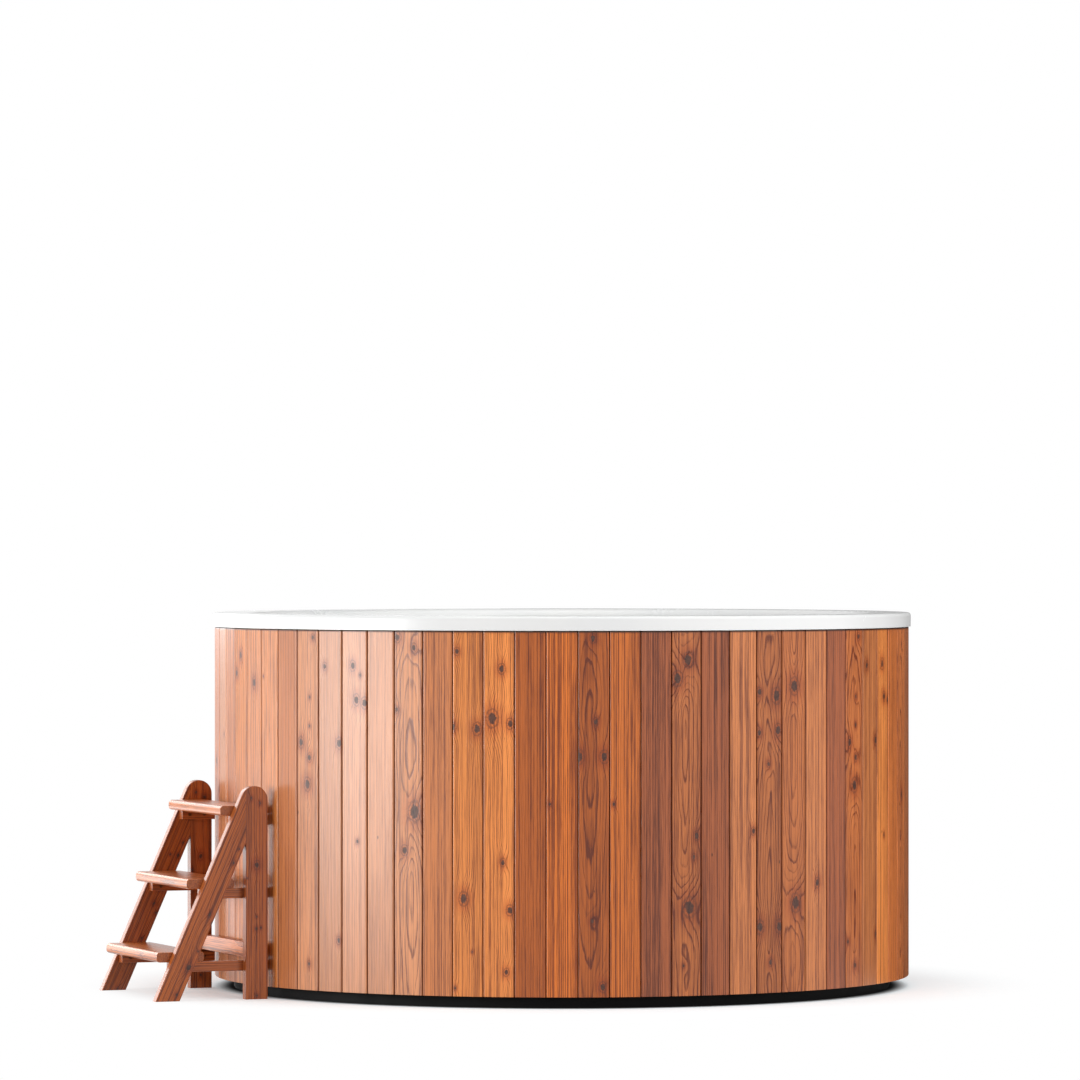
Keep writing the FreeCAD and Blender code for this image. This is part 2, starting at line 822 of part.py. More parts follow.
def arris_wanted(joint_distance):
    """Long edges of a frame timber: not those on the floor or on the joint between post and stringer."""
    def wanted(edge):
        box = edge.BoundBox
        across = box.YMax - box.YMin > 1
        on_floor = box.ZMax < 0.1
        on_joint = abs(box.XMin - joint_distance) < 0.1 and abs(box.XMax - joint_distance) < 0.1
        return not (across or on_floor or on_joint)
    return wanted


def ladder_post(side):
    joint = ladder_stock_width
    top = vec(joint, 0, head_height(joint))
    shoulder = vec(0, 0, head_level)
    edges = [
        Part.LineSegment(origin, vec(joint, 0, 0)).toShape(),
        Part.LineSegment(vec(joint, 0, 0), top).toShape(),
        Part.Arc(top, vec(head_radius, 0, ladder_head_height), shoulder).toShape(),
        Part.LineSegment(shoulder, origin).toShape(),
    ]
    post = ladder_side(edges, side)
    return softened(post, ladder_arris, arris_wanted(joint))


def head_point(angle):
    across = head_radius + head_radius * math.cos(angle)
    return vec(across, 0, head_level + head_radius * math.sin(angle))


def ladder_stringer(side):
    lean = math.radians(ladder_lean)
    joint = ladder_stock_width
    heel = vec(ladder_toe - ladder_foot, 0, 0)
    toe = vec(ladder_toe, 0, 0)
    touch = head_point(lean)
    top = vec(joint, 0, head_height(joint))
    top_angle = math.acos((joint - head_radius) / head_radius)
    middle = head_point((lean + top_angle) / 2)
    crotch = vec(joint, 0, (ladder_toe - ladder_foot - joint) / ladder_slope)
    edges = [
        Part.LineSegment(heel, toe).toShape(),
        Part.LineSegment(toe, touch).toShape(),
        Part.Arc(touch, middle, top).toShape(),
        Part.LineSegment(top, crotch).toShape(),
        Part.LineSegment(crotch, heel).toShape(),
    ]
    stringer = ladder_side(edges, side)
    return softened(stringer, ladder_arris, arris_wanted(joint))


def tread_top(index):
    return first_tread_top + index * tread_rise


def tread_span(index):
    """Rear and front edges of a tread; the top one stops short of the tub's wall."""
    front = stringer_front(tread_top(index)) + tread_nosings[index]
    return max(front - tread_depth, wall_clearance()), front


def wall_clearance():
    """How far forward of the posts' rear plane a piece has to stay to clear the tub's wall."""
    return clad_radius + top_tread_wall_gap - ladder_back()


def ladder_tread(index):
    rear, front = tread_span(index)
    top = tread_top(index)
    tread = box_between((rear, -ladder_inner, top - tread_thickness), (front, ladder_inner, top))

    def long_edge(edge):
        return edge.BoundBox.YMax - edge.BoundBox.YMin > ladder_inner
    return softened(tread, min(tread_edge_radius, tread_thickness * 0.45), long_edge)


def cleat_span(index):
    top = tread_top(index) - tread_thickness
    return stringer_front(top) - cleat_front_inset, top


def ladder_cleat(index, side):
    front, top = cleat_span(index)
    low, high = sorted((side * ladder_inner, side * (ladder_inner - cleat_size)))
    return box_between((0, low, top - cleat_size), (front, high, top))


def ladder_brace():
    rear = max((ladder_stock_width - brace_thickness) / 2, wall_clearance())
    low = (rear, -ladder_inner, brace_bottom)
    return box_between(low, (rear + brace_thickness, ladder_inner, brace_bottom + brace_height))


def ladder_screw(start, direction, length, clearance=0.0):
    radius = screw_radius + clearance
    head = Part.makeCone(screw_head_radius + clearance, radius, screw_head_height, start, direction)
    shank = Part.makeCylinder(radius, length, start, direction)
    return head.fuse(shank).removeSplitter()


def ladder_screw_places():
    """Start, direction and length of the screws that hold each cleat to its frame and tread."""
    places = []
    length = cleat_size + ladder_screw_bite
    for index in range(len(tread_nosings)):
        front, top = cleat_span(index)
        rear, nose = tread_span(index)
        middle = top - cleat_size / 2
        stringer_middle = stringer_front(middle) - ladder_foot / 2
        past_joint = ladder_stock_width + ladder_screw_spacing / 2
        lateral = (ladder_stock_width / 2, max(stringer_middle, past_joint))
        first_upright = max(rear, 0) + ladder_screw_spacing
        upright = (first_upright, front - ladder_screw_spacing / 2)
        for side in (-1, 1):
            for distance in lateral:
                start = vec(distance, side * (ladder_inner - cleat_size), middle)
                places.append((start, vec(0, side, 0), length))
            for distance in upright:
                start = vec(distance, side * (ladder_inner - cleat_size / 2), top - cleat_size)
                places.append((start, up, length))
    return places


def ladder_dowel_places():
    """Middle and direction of the hidden dowels in the frame's joints."""
    places = []
    brace_middle = brace_bottom + brace_height / 2
    top_cleat_middle = cleat_span(len(tread_nosings) - 1)[1] - cleat_size / 2
    for side in (-1, 1):
        places.append((vec(ladder_stock_width / 2, side * ladder_inner, brace_middle), vec(0, 1, 0)))
        lateral = side * (ladder_inner + ladder_stock_thickness / 2)
        for level in (top_cleat_middle - dowel_offset, top_cleat_middle + dowel_offset):
            places.append((vec(ladder_stock_width, lateral, level), outward))
    return places


def ladder_dowel(middle, direction, clearance=0.0):
    reach = dowel_depth + clearance
    return Part.makeCylinder(dowel_radius + clearance, 2 * reach, middle - direction * reach, direction)


def ladder():
    screws = [ladder_screw(*place) for place in ladder_screw_places()]
    dowels = [ladder_dowel(*place) for place in ladder_dowel_places()]
    holes = [ladder_screw(*place, screw_clearance) for place in ladder_screw_places()]
    holes = holes + [ladder_dowel(*place, screw_clearance) for place in ladder_dowel_places()]
    pieces = {"ladder_brace": ladder_brace()}
    for side, word in ((1, "right"), (-1, "left")):
        pieces["ladder_post_" + word] = ladder_post(side)
        pieces["ladder_stringer_" + word] = ladder_stringer(side)
    for index, word in enumerate(("bottom", "middle", "top")):
        pieces["ladder_tread_" + word] = ladder_tread(index)
        pieces["ladder_cleat_%s_right" % word] = ladder_cleat(index, 1)
        pieces["ladder_cleat_%s_left" % word] = ladder_cleat(index, -1)
    for node, solid in pieces.items():
        save(node, ladder_placed(solid.cut(holes)))
    save("ladder_screws", *[ladder_placed(screw) for screw in screws])
    save("ladder_dowels", *[ladder_placed(dowel) for dowel in dowels])


def tub():
    save("inner_shell", inner_shell(plain_shell()))
    cladding()
    for word, level in zip(("lower", "middle", "upper"), batten_levels()):
        save("batten_ring_" + word, batten_ring(level))
    save("stave_screws", *stave_screws())
    studs = wall_studs()
    save("wall_studs", *studs)
    save("wall_insulation", *wall_insulation(studs))
    save("rim_ring", rim_ring())
    save("bench_ribs", *bench_ribs())
    save("base_tray", base_tray())
    save("base_bearers", *base_bearers())
    save("base_deck", base_deck())
    save("floor_insulation", floor_insulation())
    gaskets = [drain_gasket()]
    grown_shell = plain_shell(saddle_clearance)
    names = ("suction", "return")
    bodies = (lambda inner: fitting_body(inner, fitting_flange_thickness), return_body)
    for name, body, (index, height, inner) in zip(names, bodies, wall_fittings()):
        gasket, nut = fitting_parts(grown_shell, index, height, inner)
        gaskets.append(gasket)
        save(name + "_locknut", nut)
        save(name + "_flange", placed_fitting(body(inner), index, height))
        save(name + "_pipe", placed_fitting(port_pipe(inner), index, height))
    save("fitting_gaskets", *gaskets)
    low, high = wall_fittings()
    save("suction_cover", placed_fitting(suction_cover(low[2]), low[0], low[1]))
    save("return_ring", placed_fitting(return_ring(high[2]), high[0], high[1]))
    save("return_eyeball", placed_fitting(return_eyeball(high[2]), high[0], high[1]))
    save("port_plates", *port_plates())
    save("drain_flange", drain_flange())
    save("drain_locknut", drain_locknut())
    save("drain_strainer", drain_strainer())
    save("drain_elbow", drain_elbow())
    save("drain_pipe", drain_pipe())
    valve = {"body": valve_body(), "ball": valve_ball(), "end": valve_end(), "handle": valve_handle()}
    for name, solid in valve.items():
        save("drain_valve_" + name, placed_fitting(solid, drain_stave, drain_pipe_height))
    save("drain_valve_seats", *valve_seats())


os.makedirs("parts", exist_ok=True)
tub()
ladder()
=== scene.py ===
# %% [markdown]
# # Dressing a cold plunge tub and its step ladder
#
# The engineering model holds every solid of this tub at its real size: seventy-two upright cedar boards round
# a white moulded shell, a black tray under them, the water fittings and a loose three-tread ladder. This
# lesson gives those solids their looks. The model is loaded first and never moved. Boards and ladder timbers
# are rebuilt as finer meshes in the same place, because cedar needs rounded edges and a grain that knows
# which way each board runs. All the rest keeps its solid and gets a finish.

# %% Load the frame
import json
import math
import random

import bmesh
import bpy
from mathutils import Matrix, Vector


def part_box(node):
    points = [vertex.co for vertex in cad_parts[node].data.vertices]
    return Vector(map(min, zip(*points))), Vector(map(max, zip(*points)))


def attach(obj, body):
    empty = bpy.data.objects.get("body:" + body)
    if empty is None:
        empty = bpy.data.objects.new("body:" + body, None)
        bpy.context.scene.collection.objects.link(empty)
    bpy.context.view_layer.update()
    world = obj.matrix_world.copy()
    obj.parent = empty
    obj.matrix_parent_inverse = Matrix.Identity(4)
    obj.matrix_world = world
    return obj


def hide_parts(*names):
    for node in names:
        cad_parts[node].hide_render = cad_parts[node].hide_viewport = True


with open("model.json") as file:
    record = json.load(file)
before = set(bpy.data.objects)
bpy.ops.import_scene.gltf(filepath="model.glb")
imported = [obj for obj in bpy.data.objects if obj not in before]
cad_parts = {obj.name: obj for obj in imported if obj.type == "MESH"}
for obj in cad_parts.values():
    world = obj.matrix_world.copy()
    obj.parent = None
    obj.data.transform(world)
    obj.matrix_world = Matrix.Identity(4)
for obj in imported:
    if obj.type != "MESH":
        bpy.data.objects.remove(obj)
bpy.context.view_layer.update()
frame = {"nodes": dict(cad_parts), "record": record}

print("nodes in the frame:", len(frame["nodes"]))

# %% [markdown]
# ## Words for shader nodes
#
# A finish in Blender is a net of nodes, and writing each node and link out in full hides the idea. A small
# class keeps finishes readable: each method takes numbers or sockets, adds a node and gives back its output.


# %% Node helper
class Wiring:
    """Adds shader nodes to one tree. An input may be a plain value or another node's output."""

    def __init__(self, tree):
        self.tree = tree

    def node(self, kind, inputs=None, **settings):
        made = self.tree.nodes.new(kind)
        for name, value in settings.items():
            setattr(made, name, value)
        for socket, value in (inputs or {}).items():
            self.feed(made.inputs[socket], value)
        return made

    def feed(self, socket, value):
        if isinstance(value, bpy.types.NodeSocket):
            self.tree.links.new(value, socket)
        else:
            socket.default_value = value

    def shader(self, kind, inputs):
        return self.node("ShaderNode" + kind, inputs).outputs[0]

    def group(self, tree, inputs):
        return self.node("ShaderNodeGroup", inputs, node_tree=tree).outputs

    def math(self, operation, *values, clamp=False):
        inputs = dict(enumerate(values))
        return self.node("ShaderNodeMath", inputs, operation=operation, use_clamp=clamp).outputs[0]

    def times(self, first, second):
        return self.math("MULTIPLY", first, second)

    def times_add(self, value, factor, base, clamp=False):
        return self.math("MULTIPLY_ADD", value, factor, base, clamp=clamp)

    def vector(self, operation, *values):
        return self.node("ShaderNodeVectorMath", dict(enumerate(values)), operation=operation).outputs[0]

    def length(self, value):
        return self.node("ShaderNodeVectorMath", {0: value}, operation="LENGTH").outputs["Value"]

    def split(self, value):
        return self.node("ShaderNodeSeparateXYZ", {0: value}).outputs

    def join(self, x, y, z):
        return self.node("ShaderNodeCombineXYZ", {0: x, 1: y, 2: z}).outputs[0]

    def ease(self, value, start, end):
        """0 at the start, 1 at the end and a soft curve between. The start may be the larger one."""
        inputs = {0: value, 1: start, 2: end}
        return self.node("ShaderNodeMapRange", inputs, interpolation_type="SMOOTHSTEP").outputs[0]

    def mix(self, amount, first, second, blend="MIX"):
        inputs = {0: amount, 6: first, 7: second}
        return self.node("ShaderNodeMix", inputs, data_type="RGBA", blend_type=blend).outputs[2]

    def noise(self, place, scale, detail, roughness):
        inputs = {"Vector": place, "Scale": scale, "Detail": detail, "Roughness": roughness}
        return self.node("ShaderNodeTexNoise", inputs).outputs[0]

    def attribute(self, name):
        return self.node("ShaderNodeAttribute", attribute_name=name).outputs["Vector"]

    def bump(self, height, strength, distance):
        inputs = {"Height": height, "Strength": strength, "Distance": distance}
        return self.node("ShaderNodeBump", inputs).outputs[0]


def new_group(name, inputs, outputs):
    """A node group with named sockets. Gives back the group, its wiring, its inputs and its outputs."""
    group = bpy.data.node_groups.new(name, "ShaderNodeTree")
    for direction, sockets in (("INPUT", inputs), ("OUTPUT", outputs)):
        for label, kind in sockets:
            group.interface.new_socket(label, in_out=direction, socket_type="NodeSocket" + kind)
    wires = Wiring(group)
    return group, wires, wires.node("NodeGroupInput").outputs, wires.node("NodeGroupOutput").inputs


def new_material(name):
    """A material with its Principled shader. Gives back the material, its wiring and the shader's sockets."""
    material = bpy.data.materials.new(name)
    material.use_nodes = True
    shader = material.node_tree.nodes["Principled BSDF"]
    return material, Wiring(material.node_tree), shader.inputs


def new_object(name, data):
    """An object in the scene that shows a mesh, a lamp or a camera."""
    made = bpy.data.objects.new(name, data)
    bpy.context.scene.collection.objects.link(made)
    return made


def tint(red, green, blue):
    """A colour as a painter reads it off a swatch, 0 to 255, turned into the linear light of shaders."""
    def linear(step):
        share = step / 255
        return share / 12.92 if share <= 0.04045 else ((share + 0.055) / 1.055) ** 2.4
    return (linear(red), linear(green), linear(blue), 1.0)


print("node helper ready")

# %% [markdown]
# ## What a knot does to a board
#
# A knot is the root of a branch: a dark oval with its own rings and thin whiskers, and the board's grain
# swerves round it. It could be painted by hand, but then each board would need a picture. A small node group
# works it out instead: it says how far a point lies from the knot, in knot radii, where the whiskers are and
# how much the growth rings are pushed aside.

# %% Knot group
KNOT_STRETCH = 1.45
RAGGED_EDGE = 0.6
LEAST_KNOT = 0.0004
NO_KNOT = (0.0, -9.0, LEAST_KNOT)
WHISKERS = 9.0
WHISKER_SHAKE = 9.0
WHISKER_WIDTH = (0.5, 1.0)
WHISKER_REACH = (2.1, 0.7)
LIFT_WIDTH = 2.3
LIFT_LENGTH = 5.5
LIFT_HEIGHT = 1.7

knot_group, wires, given, put = new_group(
    "Knot",
    [("Across", "Float"), ("Along", "Float"), ("Knot", "Vector"), ("Ragged", "Float")],
    [("Reach", "Float"), ("Lift", "Float"), ("Whisker", "Float")],
)
knot_across, knot_along, knot_size = wires.split(given["Knot"])
knot_size = wires.math("MAXIMUM", knot_size, LEAST_KNOT)
off_across = wires.math("DIVIDE", wires.math("SUBTRACT", given["Across"], knot_across), knot_size)
off_along = wires.math("DIVIDE", wires.math("SUBTRACT", given["Along"], knot_along), knot_size)
oval = wires.length(wires.join(off_across, wires.math("DIVIDE", off_along, KNOT_STRETCH), 0.0))
wires.feed(put["Reach"], wires.times_add(given["Ragged"], RAGGED_EDGE, oval))

turn = wires.math("ARCTAN2", off_along, off_across)
shake = wires.times(given["Ragged"], WHISKER_SHAKE)
ray = wires.math("SINE", wires.times_add(turn, WHISKERS, shake))
near_knot = wires.ease(oval, *WHISKER_REACH)
wires.feed(put["Whisker"], wires.times(wires.ease(ray, *WHISKER_WIDTH), near_knot))

swell_across = wires.math("DIVIDE", off_across, LIFT_WIDTH)
swell_along = wires.math("DIVIDE", off_along, LIFT_LENGTH)
swell = wires.length(wires.join(swell_across, swell_along, 0.0))
fade = wires.math("EXPONENT", wires.times(wires.times(swell, swell), -1.0))
wires.feed(put["Lift"], wires.times(wires.times(fade, knot_size), LIFT_HEIGHT))
print("knot group:", len(knot_group.nodes), "nodes")

# %% [markdown]
# ## Cedar: rings, fibres and knots
#
# A board is a flat cut through a round tree, so its figure is the distance from the pith. If the pith lies
# close behind the board and the trunk bends, the rings come out as arches and ovals; if it lies far to one
# side, they come out as straight lines. A wave texture gives stripes but not arches, so the group below works
# out the distance from each board's own pith. It starts with the noises, drawn out as fibres are, and the
# knots.

# %% Cedar figure group
KNOTS_PER_BOARD = 8
NO_KNOT_NEAR = 99.0
SEED_STRETCH = 3.1
knot_names = [f"knot_{number}" for number in range(1, KNOTS_PER_BOARD + 1)]

cedar_group, wires, given, put = new_group(
    "Cedar figure",
    [("Place", "Vector"), ("Pith", "Vector"), ("Figure", "Vector"), ("Strength", "Vector"),
     ("Shade", "Float"), ("Pale", "Color"), ("Deep", "Color")]
    + [(name, "Vector") for name in knot_names],
    [("Color", "Color"), ("Roughness", "Float"), ("Height", "Float")],
)
across, along, depth = wires.split(given["Place"])
pith_across, pith_middle, pith_tilt = wires.split(given["Pith"])
swing_size, ring_width, seed = wires.split(given["Figure"])
ring_strength, streak_strength, fibre_strength = wires.split(given["Strength"])
seed_step = wires.join(seed, wires.times(seed, SEED_STRETCH), seed)
shuffled = wires.vector("ADD", given["Place"], seed_step)


def stretched_noise(cross_scale, long_scale, detail, roughness=0.5):
    """Noise centred on zero, with its own scale across and along the board, in lumps to the metre."""
    place = wires.vector("MULTIPLY", shuffled, (cross_scale, long_scale, cross_scale))
    return wires.math("SUBTRACT", wires.noise(place, 1.0, detail, roughness), 0.5)


broad = stretched_noise(11.0, 1.6, 2.0)
fine = stretched_noise(70.0, 9.0, 3.0)
streak = stretched_noise(290.0, 0.6, 3.0, 0.6)
fibre = stretched_noise(300.0, 7.0, 3.0, 0.7)
ragged = stretched_noise(170.0, 110.0, 2.0)
swing = stretched_noise(0.01, 2.4, 1.0)

reach, lift, whisker = NO_KNOT_NEAR, 0.0, 0.0
for name in knot_names:
    knot = wires.group(knot_group, {"Across": across, "Along": along, "Knot": given[name], "Ragged": ragged})
    reach = wires.math("MINIMUM", knot["Reach"], reach)
    lift = wires.math("ADD", knot["Lift"], lift)
    whisker = wires.math("MAXIMUM", knot["Whisker"], whisker)
print("noises and knots laid in the cedar group")

# %% [markdown]
# A growth ring starts pale and ends in a thin dark line of late wood, and no two rings are equally strong.
# The distance from the pith, in ring widths, gives both: its whole part numbers the ring and picks its
# strength, its fraction says how far through the ring a point lies. Rings, streaks and fibres add up to one
# darkness, which mixes the board's pale and deep shade.

# %% Rings of the cedar
BROAD_WANDER = 0.03
FINE_WANDER = 0.006
PITH_CORE = 0.004
EARLY_SHADE = 0.25
LATE_START = (0.64, 0.88)
RING_CLOSE = 0.9
WEAKEST_RING = 0.2
BASE_DARKNESS = 0.2
BROAD_STRENGTH = 0.7

pith_side = wires.times_add(broad, BROAD_WANDER, wires.math("SUBTRACT", across, pith_across))
pith_back = wires.times(wires.math("SUBTRACT", along, pith_middle), pith_tilt)
pith_back = wires.times_add(swing, swing_size, wires.math("ADD", depth, pith_back))
distance = wires.length(wires.join(pith_side, pith_back, PITH_CORE))
distance = wires.math("ADD", wires.times_add(fine, FINE_WANDER, distance), lift)
turns = wires.math("DIVIDE", distance, ring_width)
share = wires.math("FRACT", turns)
ring_number = wires.math("ADD", wires.math("FLOOR", turns), seed)
ring_dice = wires.node("ShaderNodeTexWhiteNoise", {"W": ring_number}, noise_dimensions="1D")
ring_mood = wires.times_add(ring_dice.outputs["Value"], 1 - WEAKEST_RING, WEAKEST_RING)
early_shade = wires.times(wires.ease(share, 0.0, RING_CLOSE), EARLY_SHADE)
late_line = wires.times(wires.ease(share, *LATE_START), wires.ease(share, 1.0, RING_CLOSE))
late_wood = wires.times(wires.math("ADD", early_shade, late_line), ring_mood)

darkness = wires.math("ADD", given["Shade"], BASE_DARKNESS)
darkness = wires.times_add(late_wood, ring_strength, darkness)
darkness = wires.times_add(streak, streak_strength, darkness)
darkness = wires.times_add(fibre, fibre_strength, darkness)
darkness = wires.times_add(broad, BROAD_STRENGTH, darkness, clamp=True)
wood = wires.mix(darkness, given["Pale"], given["Deep"])
print("rings laid in the cedar group")

# %% [markdown]
# The knots come over the wood, from the widest mark to the narrowest: a brown halo, the whiskers, a ring
# round the knot and its dark core. Pin knots, too small to note one by one, come from a cell texture that is
# dark only near the middle of each cell. Roughness and fine relief follow from the same masks.

# %% Knot marks of the cedar
HALO_REACH = (3.4, 0.8)
HALO_STRENGTH = 0.6
WHISKER_STRENGTH = 0.4
COLLAR_REACH = (1.7, 1.4)
COLLAR_RINGS = 6.8
COLLAR_LINE = (0.25, 0.95)
COLLAR_STRENGTH = 0.48
CORE_REACH = (0.78, 0.64)
CORE_STRENGTH = 0.88
CLOUD_CONTRAST = 2.4
CLOUD_MIDDLE = 0.4
PIN_SCALE = (17.0, 6.5, 17.0)
PIN_RAGGED = 0.02
PIN_REACH = (0.045, 0.02)
PIN_STRENGTH = 0.8
KNOT_DARK = tint(40, 25, 22)
KNOT_GREY = tint(86, 58, 48)
COLLAR_BROWN = tint(84, 44, 30)
HALO_BROWN = tint(206, 160, 136)
OIL_ROUGHNESS = 0.3
FIBRE_ROUGHNESS = 0.12
KNOT_ROUGHNESS = 0.1
LATE_ROUGHNESS = -0.05
FIBRE_HEIGHT = 0.7
LATE_HEIGHT = -0.5
KNOT_HEIGHT = -0.6


def marked(mask, strength, colour):
    """The wood so far, with a colour laid over it where a mask is 1."""
    return wires.mix(wires.times(mask, strength), wood, colour)


core = wires.ease(reach, *CORE_REACH)
collar_wave = wires.math("SINE", wires.times(reach, COLLAR_RINGS))
collar = wires.times(wires.ease(reach, *COLLAR_REACH), wires.ease(collar_wave, *COLLAR_LINE))
knot_cloud = wires.times_add(ragged, CLOUD_CONTRAST, CLOUD_MIDDLE, clamp=True)
pin_place = wires.vector("MULTIPLY", shuffled, PIN_SCALE)
pin_cells = wires.node("ShaderNodeTexVoronoi", {"Vector": pin_place, "Scale": 1.0})
pin_distance = wires.times_add(ragged, PIN_RAGGED, pin_cells.outputs["Distance"])

wood = marked(wires.ease(reach, *HALO_REACH), HALO_STRENGTH, wires.mix(1.0, wood, HALO_BROWN, "MULTIPLY"))
wood = marked(whisker, WHISKER_STRENGTH, COLLAR_BROWN)
wood = marked(collar, COLLAR_STRENGTH, COLLAR_BROWN)
wood = marked(core, CORE_STRENGTH, wires.mix(knot_cloud, KNOT_DARK, KNOT_GREY))
wood = marked(wires.ease(pin_distance, *PIN_REACH), PIN_STRENGTH, KNOT_DARK)
wires.feed(put["Color"], wood)

gloss = wires.times_add(core, KNOT_ROUGHNESS, OIL_ROUGHNESS)
gloss = wires.times_add(fibre, FIBRE_ROUGHNESS, gloss)
wires.feed(put["Roughness"], wires.times_add(late_wood, LATE_ROUGHNESS, gloss))
relief = wires.times_add(late_wood, LATE_HEIGHT, wires.times(fibre, FIBRE_HEIGHT))
wires.feed(put["Height"], wires.times_add(core, KNOT_HEIGHT, relief))
print("cedar group:", len(cedar_group.nodes), "nodes")

# %% [markdown]
# A material for each board would make seventy-two of them. Here every board carries its pith, its shades and
# its knots as attributes on its mesh, and one finish reads them. One more attribute, edge, says how deep a
# point lies in the groove between two boards, where painted shade darkens it, how strong the dark stripe on
# the board's right side is, and whether the point is in the painted shadow under the rim.

# %% Cedar material
# Painted shade in the grooves between boards, with some oil and dust; on the ladder it darkens the end grain.
GROOVE_SHADE_AND_END_GRAIN_BROWN = tint(104, 47, 22)
GROOVE_DEPTH = (0.14, 0.62)
# Painted shadow in the gap under the rim's lip.
PAINTED_RIM_SHADOW_BROWN = tint(62, 26, 13)
STRIPE_SIDE = (0.013, 0.019)
GRAIN_DEPTH = 0.0004
grain_labels = ["Place", "Pith", "Figure", "Strength", "Pale", "Deep"] + knot_names


def cedar_material(name, bump_strength, groove_shade_and_end_grain_darkness):
    """Oiled cedar reading each board's grain from the mesh; grooves get painted shade with some oil and dust.
    """
    material, wires, shader = new_material(name)
    grain = {label: wires.attribute(label.lower()) for label in grain_labels}
    sunk, stripe, painted_rim_shadow = wires.split(wires.attribute("edge"))
    right_side = wires.ease(wires.split(grain["Place"])[0], *STRIPE_SIDE)
    grain["Shade"] = wires.times(right_side, stripe)
    figure = wires.group(cedar_group, grain)
    # On the boards this is painted groove shade with some oil and dust; on the ladder it is darker end grain.
    groove = wires.times(wires.ease(sunk, *GROOVE_DEPTH), groove_shade_and_end_grain_darkness)
    wood = wires.mix(groove, figure["Color"], GROOVE_SHADE_AND_END_GRAIN_BROWN)
    # Painted shadow under the rim.
    wires.feed(shader["Base Color"], wires.mix(painted_rim_shadow, wood, PAINTED_RIM_SHADOW_BROWN))
    wires.feed(shader["Roughness"], figure["Roughness"])
    wires.feed(shader["Normal"], wires.bump(figure["Height"], bump_strength, GRAIN_DEPTH))
    return material


cladding_cedar = cedar_material("cladding_cedar_finish", bump_strength=0.35, groove_shade_and_end_grain_darkness=0.85)
ladder_cedar = cedar_material("ladder_cedar_finish", bump_strength=0.2, groove_shade_and_end_grain_darkness=0.55)
print("cedar finishes made")

# %% [markdown]
# ## Boards chosen one by one
#
# Whoever clads a tub sorts the boards by eye: a pale one beside a dark one, an arched figure beside a
# straight one, sound knots kept. The notes do the same for the boards that face the viewer. Each says its
# tone, which may be light or dark, its figure and its knots: a place across the board (from -1 at its left
# edge to 1 at its right), a height in metres and a radius in millimetres. Some arches have their height noted
# too. Boards round the back are drawn by a seeded chooser.

# %% Board notes
TONES = {
    "honey": (tint(231, 141, 72), tint(136, 70, 32)),
    "gold": (tint(213, 114, 42), tint(118, 51, 15)),
    "amber": (tint(211, 120, 58), tint(117, 53, 24)),
    "copper": (tint(211, 129, 75), tint(120, 62, 38)),
    "peach": (tint(212, 140, 92), tint(128, 76, 54)),
    "sienna": (tint(193, 111, 58), tint(106, 46, 22)),
    "russet": (tint(182, 95, 37), tint(99, 39, 12)),
    "mauve": (tint(168, 91, 51), tint(92, 40, 20)),
    "chestnut": (tint(176, 92, 38), tint(99, 42, 17)),
}
SHADES = {"": 1.0, "light": 1.14, "dark": 0.87}

